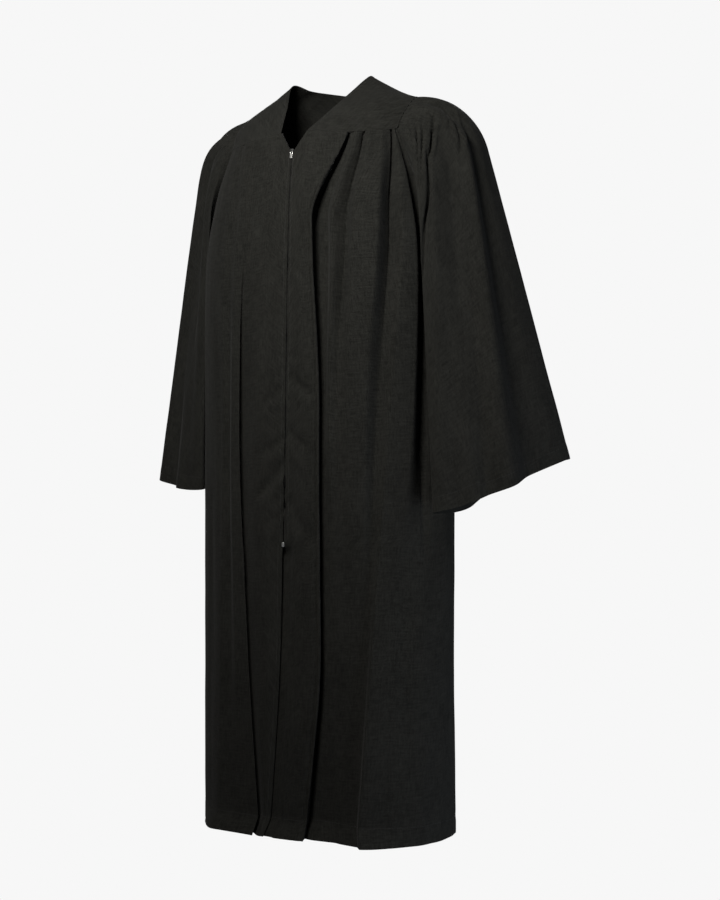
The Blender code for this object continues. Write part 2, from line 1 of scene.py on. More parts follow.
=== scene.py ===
"""Looks of the graduation gown.

Each cloth piece is a thin shell on its solid's form, worked out from the same short tables, with
seams, hems, creases and stitches added in its own sizes. Metres, +Z up, the front faces -Y and
the wearer's left is +X.
"""

import logging
from collections import namedtuple
from collections.abc import Callable, Sequence
from dataclasses import dataclass
from enum import Enum
from typing import Union

import bpy
import numpy as np
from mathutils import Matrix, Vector


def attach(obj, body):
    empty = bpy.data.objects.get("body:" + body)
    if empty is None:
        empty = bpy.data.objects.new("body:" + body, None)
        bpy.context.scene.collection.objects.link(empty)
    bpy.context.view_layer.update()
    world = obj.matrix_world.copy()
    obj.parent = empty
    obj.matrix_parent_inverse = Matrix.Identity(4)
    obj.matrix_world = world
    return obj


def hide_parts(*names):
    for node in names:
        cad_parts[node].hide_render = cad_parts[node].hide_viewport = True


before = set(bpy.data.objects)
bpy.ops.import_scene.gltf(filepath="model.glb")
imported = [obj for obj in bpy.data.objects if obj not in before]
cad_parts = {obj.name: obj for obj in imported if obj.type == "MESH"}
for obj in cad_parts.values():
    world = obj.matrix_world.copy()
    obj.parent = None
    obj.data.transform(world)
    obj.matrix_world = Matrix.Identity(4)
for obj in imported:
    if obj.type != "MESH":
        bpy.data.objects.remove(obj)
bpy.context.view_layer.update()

LOG = logging.getLogger("gown")
MILLI = 0.001

# Levels and angles of the cut, the same as the solids'.
YOKE_LEVEL = -0.1125
YOKE_DIP = 0.007
UNDERARM_LEVEL = -0.350
HEM_LEVEL = -1.338
ARM_CORNER = 63.0
ARM_CURVE = 1.5
SIDE = 90.0
NECK_HALF = 0.079
NECK_BACK = 0.075
SHOULDER = (0.177, 0.010, -0.0475)
V_EDGE = 7.9
V_POINT_LEVEL = -0.151
SEAM_FADE = 0.060
BACK_SEAM_DIP = 0.030
SHOULDER_ALONG = 0.32
BACK_CORNER_ALONG = 0.58
ROW_BIAS = 1.25
SLIDER_LEVEL = -0.1485
ZIP_BOTTOM_LEVEL = -0.829
TAPE_TOP_LEVEL = -0.1525
TAPE_END_LEVEL = -0.835
TAPE_WIDTH = 0.012
TILT_STEP = 0.006
PIVOT_OUT = 0.0013

# The wearer's right shoulder: how far it is let down, where that starts and the way it fades in.
SHOULDER_DROP = 0.008
DROP_FROM = 0.080
DROP_ACROSS = 0.110
DROP_LOWEST = -0.330
DROP_RISE = 0.250

# The cloth's edges: the close rows where one turns in, and the allowance behind a seam.
CLOSE_ROWS = (0.0004, 0.0008, 0.0012, 0.0017, 0.0024)
CLOSE_ROWS_CLEAR = 1.3
SEAM_ALLOWANCE = 0.005
EDGES = {"top": np.s_[:1], "bottom": np.s_[-1:], "first": np.s_[:, :1], "last": np.s_[:, -1:]}

# How much closer columns stand at a fold line, and metres for each degree round body and sleeve.
FOLD_CROWDING = 0.09
BODY_SCALE = 0.0040
SLEEVE_SCALE = 0.0019

# Height of the body panels' soft unevenness.
UNEVEN = 0.0007

Section = namedtuple("Section", "level half_width front back")
BODY = np.array((
    Section(-0.1125, 0.191, 0.120, 0.108),
    Section(-0.200, 0.222, 0.132, 0.116),
    Section(-0.330, 0.2470, 0.140, 0.120),
    Section(-0.600, 0.2475, 0.146, 0.123),
    Section(-1.000, 0.2475, 0.150, 0.127),
    Section(HEM_LEVEL, 0.2475, 0.152, 0.130),
))

# Levels of a fold table's five stations. Angles are from the centre front, rises in millimetres.
STATIONS = (-0.120, -0.270, -0.600, -1.000, HEM_LEVEL)
Fold = namedtuple("Fold", "yoke chest waist knee hem r_yoke r_chest r_waist r_knee r_hem")
FRONT_LEFT = (
    Fold(0.0, 0.0, -0.2, -3.0, -10.4, 0, 0, 0, -8, -20),
    Fold(V_EDGE, 5.2, 8.0, 7.0, -1.5, 0, 2, 3, -6, -22),
    Fold(30.9, 11.6, 15.6, 15.6, 7.0, 2, 7, 8, -3, -24),
    Fold(31.9, 10.4, 14.0, 13.6, 5.6, -2, -19, -10, -22, -43),
    Fold(33.2, 16.2, 16.6, 16.6, 9.8, -2, -17, -9, -18, -39),
    Fold(36.1, 20.2, 19.2, 23.0, 19.0, 2, 2, -1, -14, -34),
    Fold(40.5, 26.3, 22.4, 27.5, 22.5, -3, -11, -3, -11, -27),
    Fold(43.5, 30.5, 27.5, 31.5, 25.8, 3, 8, 4, -9, -20),
    Fold(50.0, 41.0, 35.0, 34.5, 28.6, 2.5, 8, 5, -7, -14),
    Fold(57.0, 47.0, 40.4, 36.6, 30.7, -3, -17, -9, -3, -9),
    Fold(59.5, 54.0, 47.0, 38.6, 32.4, 2, 5, 4, 8, 6),
    Fold(60.9, 60.6, 58.0, 48.0, 46.0, 0, 3, 3, 4, 0),
    Fold(61.8, 64.6, 64.5, 62.0, 60.0, 0, -13, -13, 2, -1),
    Fold(62.5, 70.0, 73.0, 76.0, 74.0, 0, -12, -10, -3, -9),
)
FRONT_RIGHT = (
    Fold(0.0, 0.0, 0.2, 3.0, 10.4, 0, 0, 0, -8, -20),
    Fold(V_EDGE, 10.0, 11.0, 10.5, 12.6, 0, 1, 2, -4, -19),
    Fold(26.8, 22.2, 27.6, 23.0, 18.6, 0, 0, -11, -16, -31),
    Fold(27.8, 23.4, 24.0, 19.5, 15.0, 0.5, 1.5, 3, -2, -14),
    Fold(32.5, 27.6, 29.0, 26.5, 23.0, 0.5, 1, 3, 1, -10),
    Fold(37.0, 32.0, 32.8, 31.6, 30.5, -0.5, -1, -3.5, -4, -3),
    Fold(43.0, 37.5, 37.6, 37.5, 38.0, 0.5, 1, 1, 3, 6),
    Fold(48.5, 43.4, 44.0, 46.0, 48.0, 0, 0, 0, 1, 2),
    Fold(53.5, 51.0, 53.0, 54.5, 57.0, 0, 0, 0, 0, 0),
    Fold(57.8, 60.0, 64.0, 64.5, 67.0, 0, 0, 0, -1, -2),
    Fold(61.0, 67.5, 76.0, 77.0, 78.0, 0, 0, 0, 0, 0),
)
FRONT_CUT = (0.46, 1.26)
SIDE_RISE_LEFT = (0, 0, -3, -4, -12)
SIDE_RISE_RIGHT = (0, 0, 0, 1, 2)

# Pleats along a fold line: how far its edge laps over the next stretch at the stations, the depth
# and half width of the groove under it, in millimetres, and the way it faces, 1 outwards.
Pleat = namedtuple(
    "Pleat", "line lap_yoke lap_chest lap_waist lap_knee lap_hem depth half_width way"
)
PLEATS_LEFT = (
    Pleat(3, 1.8, 1.4, 1.3, 0.8, 0.4, 2.6, 2.4, 1),
    Pleat(6, 2.2, 0.9, 0.2, 0.0, 0.0, 1.8, 2.2, -1),
    Pleat(9, 2.2, 1.2, 0.0, 0.0, 0.0, 1.8, 2.2, 1),
    Pleat(11, 0.8, 0.4, 0.0, 0.0, 0.0, 1.2, 2.2, 1),
)
PLEATS_RIGHT = (
    Pleat(5, 0.3, 0.2, 0.1, 0.0, 0.0, 1.0, 2.6, 1),
)

# Soft creases of the fronts: trough or ridge along a bowed line, its ends as angle and level,
# its half width, height and bow in millimetres.
Crease = namedtuple("Crease", "angle level angle_end level_end half_width height bow")
CREASES_LEFT = (
    Crease(4.5, -0.262, 9.8, -0.345, 4, -2.2, 2),
    Crease(3.0, -0.352, 11.0, -0.393, 5, -2.4, -3),
    Crease(0.6, -0.500, 6.0, -0.512, 3, -2.0, 0),
    Crease(0.8, -0.535, 13.5, -0.574, 8, -4.6, 3),
    Crease(0.6, -0.628, 11.0, -0.666, 5, -4.2, 2),
    Crease(0.6, -0.655, 10.0, -0.706, 6, 2.6, 2),
    Crease(1.0, -0.745, 13.0, -0.830, 12, -3.5, 4),
    Crease(65.0, -0.190, 66.5, -0.860, 10, -8.0, 0),
    Crease(36.0, -0.560, 33.0, -0.900, 14, 1.5, 6),
    Crease(18.0, -0.900, 15.0, -1.250, 9, -1.5, -4),
    Crease(54.0, -0.800, 57.0, -1.200, 14, -1.4, 6),
    Crease(66.0, -0.420, 68.0, -0.900, 12, -1.6, -5),
    Crease(4.0, -0.880, 2.0, -1.120, 8, -0.9, -3),
)
CREASES_RIGHT = (
    Crease(0.6, -0.553, 13.0, -0.590, 5, -4.2, 2),
    Crease(0.8, -0.572, 11.0, -0.608, 5, 2.6, 2),
    Crease(0.4, -0.592, 6.5, -0.604, 3, -2.6, 0),
    Crease(0.4, -0.614, 6.0, -0.625, 3, -2.4, 0),
    Crease(0.4, -0.643, 12.0, -0.670, 4.5, -4.4, 2),
    Crease(0.4, -0.664, 9.0, -0.688, 4, 2.6, 1),
    Crease(0.4, -0.682, 15.5, -0.752, 8, -6.0, 4),
    Crease(0.6, -0.712, 11.0, -0.764, 6, 3.0, 3),
    Crease(0.4, -0.770, 8.0, -0.792, 5, -2.6, 2),
    Crease(0.6, -0.455, 5.5, -0.468, 3, -1.8, 0),
    Crease(31.8, -0.200, 29.0, -0.300, 5, -1.6, 1),
    Crease(20.5, -0.240, 19.5, -0.400, 5, -1.4, 1),
    Crease(40.5, -0.420, 39.5, -0.900, 10, -1.4, 3),
    Crease(14.0, -0.900, 12.0, -1.240, 9, -1.0, 4),
    Crease(24.0, -0.960, 21.0, -1.310, 9, -1.4, -3),
    Crease(48.0, -0.700, 50.0, -1.200, 13, -1.3, 5),
)
CREASES_BACK = (
    Crease(-47.0, -0.300, -50.0, -0.760, 12, -1.8, 6),
    Crease(-12.0, -0.420, -14.0, -0.980, 11, 1.5, -5),
    Crease(3.0, -0.280, 2.0, -0.700, 10, -1.6, 4),
    Crease(27.0, -0.520, 31.0, -1.150, 13, -1.8, -6),
    Crease(52.0, -0.380, 60.0, -0.900, 12, 1.4, 5),
    Crease(-30.0, -0.800, -34.0, -1.280, 12, -1.5, 5),
)

# Creases of each sleeve: the angle round the arm and the metres down from the armhole.
SLEEVE_LENGTH = 0.62
CREASES_SLEEVE_LEFT = (
    Crease(40, 0.080, 82, 0.152, 3.5, -10.0, 0),
    Crease(74, 0.120, 116, 0.285, 5, -13.0, 0),
    Crease(64, 0.056, 106, 0.144, 2.8, -8.0, 0),
    Crease(57, 0.070, 103, 0.154, 2.8, -8.0, 0),
    Crease(70, 0.040, 102, 0.118, 3, -3.0, 0),
    Crease(28, 0.080, 76, 0.152, 3, 4.0, 0),
    Crease(23, 0.100, 48, 0.204, 3.5, -7.0, 0),
    Crease(10, 0.100, 43, 0.208, 3, 3.5, 0),
    Crease(19, 0.080, 51, 0.160, 3, -3.0, 0),
    Crease(286, 0.160, 292, 0.520, 13, -3.0, 4),
)
CREASES_SLEEVE_RIGHT = (
    Crease(322, 0.120, 330, 0.480, 12, -2.5, 4),
    Crease(18, 0.150, 14, 0.420, 12, -2.0, -4),
    Crease(62, 0.120, 78, 0.430, 11, -3.0, 5),
    Crease(290, 0.160, 284, 0.540, 13, -3.0, -4),
)

# Small gathers of the sleeve's head: the angle round the arm at the head and lower down, how far
# down they fade, and their depth and half width in millimetres.
Tuck = namedtuple("Tuck", "head lower reach depth half_width")
TUCKS = (
    Tuck(4, 5, 0.13, 1.1, 3.0), Tuck(14, 17, 0.20, 1.3, 2.8), Tuck(21, 25, 0.12, 1.0, 2.6),
    Tuck(31, 37, 0.26, 1.7, 2.8), Tuck(39, 46, 0.14, 1.2, 2.5), Tuck(44, 50, 0.09, 0.9, 2.2),
    Tuck(52, 60, 0.34, 2.0, 3.0), Tuck(60, 70, 0.16, 1.4, 2.5), Tuck(65, 75, 0.11, 1.2, 2.2),
    Tuck(73, 84, 0.30, 1.9, 2.7), Tuck(80, 92, 0.20, 1.6, 2.4), Tuck(85, 98, 0.12, 1.2, 2.2),
    Tuck(96, 110, 0.28, 1.5, 2.6), Tuck(258, 254, 0.18, 1.3, 2.6), Tuck(268, 266, 0.28, 1.8, 2.8),
    Tuck(280, 279, 0.16, 1.4, 2.5), Tuck(291, 292, 0.32, 1.9, 2.9), Tuck(303, 306, 0.15, 1.3, 2.5),
    Tuck(316, 320, 0.24, 1.6, 2.8), Tuck(327, 332, 0.14, 1.1, 2.5), Tuck(341, 345, 0.20, 1.3, 2.8),
    Tuck(353, 356, 0.12, 1.0, 2.6),
)
TUCK_SCALE = 0.0017

# Crests of the back's gathers, in degrees from the centre back towards the wearer's right.
Gather = namedtuple("Gather", "yoke hem r_yoke r_chest r_hem")
BACK_CRESTS = (
    Gather(-54.0, -73.0, 2, 3, -5),
    Gather(-44.0, -56.0, 3, 6, 4),
    Gather(-33.0, -41.0, 2, 6, 7),
    Gather(-21.5, -24.0, 3, 9, 13),
    Gather(-8.0, -8.5, 3, 8, 10),
    Gather(7.0, 10.0, 3, 9, 12),
    Gather(20.0, 26.0, 3, 7, 9),
    Gather(32.0, 39.0, 2, 8, 11),
    Gather(43.5, 58.0, 3, 6, 7),
    Gather(54.5, 75.0, 2, 5, 6),
)
BACK_HOLLOW_SHARE = -0.7
BACK_LEVELS = (YOKE_LEVEL, -0.300, HEM_LEVEL)

# Guide lines of the left sleeve by angle round the arm, one each 30 degrees: 0 is outermost and
# 90 the front. Each is the elbow's point, the hem's point, the way the cloth leaves the armhole
# and how far the bend reaches up from the elbow.
Guide = namedtuple("Guide", "upper hem lead lean")
SLEEVE = (
    Guide((0.298, 0.040, -0.142), (0.427, 0.098, -0.683), (0.060, 0.000, 0.001), 0.060),
    Guide((0.288, 0.004, -0.160), (0.389, 0.032, -0.708), (0.055, -0.008, -0.002), 0.060),
    Guide((0.268, -0.032, -0.195), (0.343, -0.046, -0.742), (0.042, -0.018, -0.008), 0.055),
    Guide((0.242, -0.062, -0.250), (0.297, -0.074, -0.762), (0.028, -0.018, -0.014), 0.050),
    Guide((0.224, -0.072, -0.315), (0.251, -0.080, -0.772), (0.010, -0.016, -0.018), 0.040),
    Guide((0.2525, -0.036, -0.385), (0.262, -0.030, -0.773), (0.008, -0.004, -0.018), 0.030),
    Guide((0.2565, 0.008, -0.415), (0.264, 0.035, -0.766), (0.008, 0.001, -0.018), 0.025),
    Guide((0.253, 0.052, -0.390), (0.264, 0.098, -0.748), (0.008, 0.006, -0.018), 0.030),
    Guide((0.238, 0.090, -0.320), (0.275, 0.152, -0.728), (0.014, 0.016, -0.018), 0.040),
    Guide((0.250, 0.106, -0.250), (0.318, 0.186, -0.702), (0.028, 0.022, -0.012), 0.050),
    Guide((0.272, 0.096, -0.195), (0.368, 0.180, -0.689), (0.042, 0.018, -0.006), 0.055),
    Guide((0.292, 0.072, -0.158), (0.409, 0.148, -0.683), (0.055, 0.008, -0.001), 0.060),
)
GUIDE_STEP = 30.0
Hang = namedtuple(
    "Hang", "draw_upper draw_hem drop_outer lift_inner lift_front drop_head tuck_in tuck_back"
)

# How each sleeve hangs off the guides, in metres: towards the body, down, up and tucked back.
HANG_LEFT = Hang(0.007, 0.009, 0.0, 0.0, 0.0, 0.0, 0.0, 0.0)
HANG_RIGHT = Hang(0.023, 0.047, 0.010, 0.038, 0.009, 0.016, 0.014, 0.012)
TUCK_ANGLE = 125.0
ELBOW_SHARE = 0.36
FLUTE_FADE = 0.05
TURN_STEP = 0.5
FALL_STEP = 0.01
Flute = namedtuple("Flute", "head hem r_head r_upper r_hem")
FLUTES = (
    Flute(0, 2, 1, 1, 1),
    Flute(12, 16, -1, -1, -1),
    Flute(24, 31, 1, 3, 0),
    Flute(35, 49, -1, -13, -30),
    Flute(46, 60, 1, -4, 3),
    Flute(57, 73, -1, 7, -2),
    Flute(68, 88, 2, 3, 1),
    Flute(79, 103, -2, -1, -1),
    Flute(92, 119, 2, 2, 1),
    Flute(128, 142, 0, 0, -1),
    Flute(160, 168, 0, 0, 0),
    Flute(200, 205, 0, 0, -2),
    Flute(236, 236, 1, 2, 3),
    Flute(262, 258, 3, 3, 5),
    Flute(274, 272, -3, -5, -12),
    Flute(286, 286, 4, 4, 6),
    Flute(298, 300, -3, -4, -10),
    Flute(310, 314, 3, 2, 3),
    Flute(322, 328, -2, -2, -4),
    Flute(334, 340, 2, 1, 2),
    Flute(347, 351, -1, -1, -1),
)


class Side(Enum):
    """Side of the wearer that a piece is on. Its value mirrors the left-hand form."""

    LEFT = 1
    RIGHT = -1

    @property
    def label(self) -> str:
        """Lower-case name, as the nodes have it."""
        return self.name.lower()


def station_curve(
    levels: Sequence, values: Sequence, at: np.ndarray, steady: bool = False
) -> np.ndarray:
    """Smooth curve through values at falling levels, a cubic Hermite with central slopes.

    Args:
        levels: the falling levels.
        values: a value for each level, or a row of them for each place read.
        at: the levels to read, of any shape.
        steady: harmonic slopes, nought where the values turn, so that nothing overshoots.

    Returns:
        The values at those levels, flat beyond the two ends.
    """
    knots = -np.asarray(levels, float)
    table = np.broadcast_to(np.asarray(values, float), at.shape + knots.shape)
    place = np.clip(-at, knots[0], knots[-1])
    last = len(knots) - 1
    low = np.clip(np.searchsorted(knots, place, side="right") - 1, 0, last - 1)

    def read(index: np.ndarray) -> np.ndarray:
        """Values at the knots of these indices."""
        return np.take_along_axis(table, index[..., None], -1)[..., 0]

    def slope(index: np.ndarray) -> np.ndarray:
        """Slopes at the knots of these indices, central or harmonic."""
        before = np.maximum(index - 1, 0)
        after = np.minimum(index + 1, last)
        central = (read(after) - read(before)) / (knots[after] - knots[before])
        if not steady:
            return central
        fore = (read(index) - read(before)) / np.maximum(knots[index] - knots[before], 1e-9)
        aft = (read(after) - read(index)) / np.maximum(knots[after] - knots[index], 1e-9)
        even = fore * aft > 0
        mean = np.where(even, 2 * fore * aft / np.where(even, fore + aft, 1), 0)
        return np.where((before < index) & (index < after), mean, central)

    span = knots[low + 1] - knots[low]
    share = (place - knots[low]) / span
    square = share * share
    cube = square * share
    return (
        read(low) * (2 * cube - 3 * square + 1)
        + slope(low) * span * (cube - 2 * square + share)
        + read(low + 1) * (3 * square - 2 * cube)
        + slope(low + 1) * span * (cube - square)
    )


def ease(share: np.ndarray) -> np.ndarray:
    """Half a cosine wave from 0 to 1."""
    return 0.5 - 0.5 * np.cos(np.pi * np.clip(share, 0.0, 1.0))


def body_points(angle: np.ndarray, level: np.ndarray, rise: np.ndarray = 0.0) -> np.ndarray:
    """Points of the base body: an ellipse at each level, moved out along its own direction.

    Args:
        angle: degrees from the centre front.
        level: heights.
        rise: distances out of the base form.

    Returns:
        Points, of the arguments' shape with three coordinates each.
    """
    angle, level, rise = np.broadcast_arrays(np.asarray(angle, float), level, rise)
    half_width, front, back = (station_curve(BODY[:, 0], BODY[:, k], level) for k in (1, 2, 3))
    turn = np.radians(angle)
    depth = np.where(np.cos(turn) >= 0, front, back)
    across = depth * np.sin(turn)
    ahead = -half_width * np.cos(turn)
    size = np.hypot(across, ahead)
    return np.stack((
        half_width * np.sin(turn) + rise * across / size,
        -depth * np.cos(turn) + rise * ahead / size,
        level,
    ), -1)


def side_angle(level: np.ndarray) -> np.ndarray:
    """Angle of a panel's outer edge: along the armhole, then down the side seam."""
    share = np.clip((YOKE_LEVEL - level) / (YOKE_LEVEL - UNDERARM_LEVEL), 0.0, 1.0)
    return ARM_CORNER + (SIDE - ARM_CORNER) * share ** ARM_CURVE


def back_seam_level(angle: np.ndarray) -> np.ndarray:
    """Level of the yoke's seam across the back, lowest at the centre."""
    share = np.minimum(np.abs(angle) / ARM_CORNER, 1.0)
    return YOKE_LEVEL - BACK_SEAM_DIP * np.cos(np.radians(share * SIDE))


def read_between(read: Callable, place: np.ndarray, last: int) -> tuple:
    """Angle and rise between two fold lines: the angle even, the rise a cubic.

    The cubic's slope at a line is the harmonic mean of those of the two stretches beside it, or
    nought at a crest, at a hollow and where the cloth doubles back.

    Args:
        read: gives the angles and rises of lines by their index.
        place: places counted in fold lines.
        last: index of the last line.

    Returns:
        Angles and rises at the places.
    """
    low = np.minimum(place.astype(int), last - 1)
    share = place - low
    angles, rises = zip(*(read(np.clip(low + k, 0, last)) for k in (-1, 0, 1, 2)))
    widths = [angles[k + 1] - angles[k] for k in range(3)]
    spans = [rises[k + 1] - rises[k] for k in range(3)]

    def slope(k: int) -> np.ndarray:
        """Slope at the nearer line, 0 before the stretch and 1 after it."""
        even = (widths[k] > 1e-6) & (widths[k + 1] > 1e-6) & (spans[k] * spans[k + 1] > 1e-16)
        before, after = (
            np.where(even, spans[j] / np.where(even, widths[j], 1), 1) for j in (k, k + 1)
        )
        return np.where(even, 2 * before * after / np.where(even, before + after, 1), 0) * widths[1]

    square = share * share
    cube = square * share
    rise = (
        rises[1] * (2 * cube - 3 * square + 1) + slope(0) * (cube - 2 * square + share)
        + rises[2] * (3 * square - 2 * cube) + slope(1) * (cube - square)
    )
    return angles[1] + widths[1] * share, rise


class YokeForm:
    """Ribs of the yoke from the front seam over the shoulder to the back, blended smoothly."""

    def __init__(self) -> None:
        """Works the ribs out of the cut: place along, neck point, outer point and bulge."""
        front_neck, front_corner, back_corner = body_points(
            (V_EDGE, ARM_CORNER, 180 - ARM_CORNER), YOKE_LEVEL)
        back_mid = body_points(180 - ARM_CORNER / 2, back_seam_level(ARM_CORNER / 2))
        back_middle = body_points(180.0, back_seam_level(0.0))
        high = np.array((NECK_HALF, 0.010, 0.0))
        side = np.array((0.064, 0.048, -0.004))
        middle = np.array((0.0, NECK_BACK, -0.015))
        behind = np.array((0.0, 0.008, 0.0))
        quarter = side + (middle - side) * 0.70 + behind
        mirror = np.array((-1.0, 1.0, 1.0))
        ribs = (
            (0.00, front_neck, front_corner, (0.000, -0.019, -YOKE_DIP)),
            (0.16, (front_neck + high) / 2, (0.1735, -0.032, -0.078), (0.000, -0.014, 0.004)),
            (SHOULDER_ALONG, high, SHOULDER, (0.000, 0.000, -0.005)),
            (0.44, side, (0.1740, 0.034, -0.072), (0.004, 0.010, 0.006)),
            (BACK_CORNER_ALONG, side + (middle - side) * 0.35 + behind, back_corner,
             (0.004, 0.014, 0.006)),
            (0.78, quarter, back_mid, (0.000, 0.014, 0.004)),
            (1.00, middle, back_middle, (0.000, 0.010, 0.002)),
            (1.22, quarter * mirror, back_mid * mirror, (0.000, 0.014, 0.004)),
        )
        self.alongs = -np.array([rib[0] for rib in ribs])
        self.necks, self.ends, self.bulges = (np.array([rib[k] for rib in ribs]) for k in (1, 2, 3))

    def blend(self, vectors: np.ndarray, along: np.ndarray) -> np.ndarray:
        """The ribs' vectors blended at places along the yoke."""
        return np.stack([station_curve(self.alongs, vectors[:, k], -along) for k in range(3)], -1)

    def end(self, along: np.ndarray) -> np.ndarray:
        """Outer edge of the left half: the armhole, then the back seam."""
        angle = ARM_CORNER * (1 - along) / (1 - BACK_CORNER_ALONG)
        seam = body_points(180.0 - angle, back_seam_level(angle))
        armhole = self.blend(self.ends, along)
        return np.where((along > BACK_CORNER_ALONG)[..., None], seam, armhole)

    def points(self, along: np.ndarray, across: np.ndarray) -> np.ndarray:
        """Points of the left half, across running from the neck to the outer edge."""
        along, across = np.broadcast_arrays(np.asarray(along, float), across)
        neck = self.blend(self.necks, along)
        bulge = self.blend(self.bulges, along)
        across = across[..., None]
        return neck + (self.end(along) - neck) * across + bulge * (4 * across * (1 - across))


YOKE_FORM = YokeForm()


def armhole_points(around: np.ndarray) -> np.ndarray:
    """Points of the left armhole: 0 at the shoulder, 90 the front corner, 180 the underarm."""
    around = around % 360.0
    behind = around > 180.0
    around = np.where(behind, 360.0 - around, around)
    share = np.minimum(around / 90.0, 1.0)
    reach = np.where(behind, BACK_CORNER_ALONG - SHOULDER_ALONG, -SHOULDER_ALONG)
    over = YOKE_FORM.points(SHOULDER_ALONG + reach * share, 1.0)
    level = YOKE_LEVEL + (UNDERARM_LEVEL - YOKE_LEVEL) * np.clip((around - 90.0) / 90.0, 0, 1)
    angle = side_angle(level)
    under = body_points(np.where(behind, 180.0 - angle, angle), level)
    return np.where((around <= 90.0)[..., None], over, under)


def running_length(points: np.ndarray, axis: int) -> np.ndarray:
    """Distance run along each row or column of a grid of points, from its first point."""
    steps = np.linalg.norm(np.diff(points, axis=axis), axis=-1)
    lengths = np.cumsum(steps, axis=axis)
    start = np.zeros_like(np.take(lengths, [0], axis=axis))
    return np.concatenate((start, lengths), axis=axis)


def smooth_noise(across: np.ndarray, down: np.ndarray, seed: int, size: float) -> np.ndarray:
    """Soft unevenness of cloth: a sum of sine waves in random directions, from -1 to 1.

    Args:
        across: distances across the cloth.
        down: distances down the cloth.
        seed: picks the directions and the phases.
        size: length of the longest wave.

    Returns:
        The sum at each point.
    """
    dice = np.random.default_rng(seed)
    total = np.zeros_like(across)
    weight = 0.0
    for k in range(7):
        turn = dice.uniform(-0.5, 0.5) + (np.pi / 2 if k % 3 == 2 else 0.0)
        wave = 2 * np.pi / (size / (1 + 0.45 * k))
        share = 1.0 / (1 + 0.5 * k)
        phase = dice.uniform(0, 2 * np.pi)
        total += share * np.sin(wave * (across * np.cos(turn) + down * np.sin(turn)) + phase)
        weight += share
    return total / weight


def settle(points: np.ndarray) -> np.ndarray:
    """Lets the wearer's right shoulder down, faded smoothly to the neck and down the arm."""
    reach = ease((-points[..., 0] - DROP_FROM) / DROP_ACROSS)
    height = ease((points[..., 2] - DROP_LOWEST) / DROP_RISE)
    settled = points.copy()
    settled[..., 2] -= SHOULDER_DROP * reach * height
    return settled


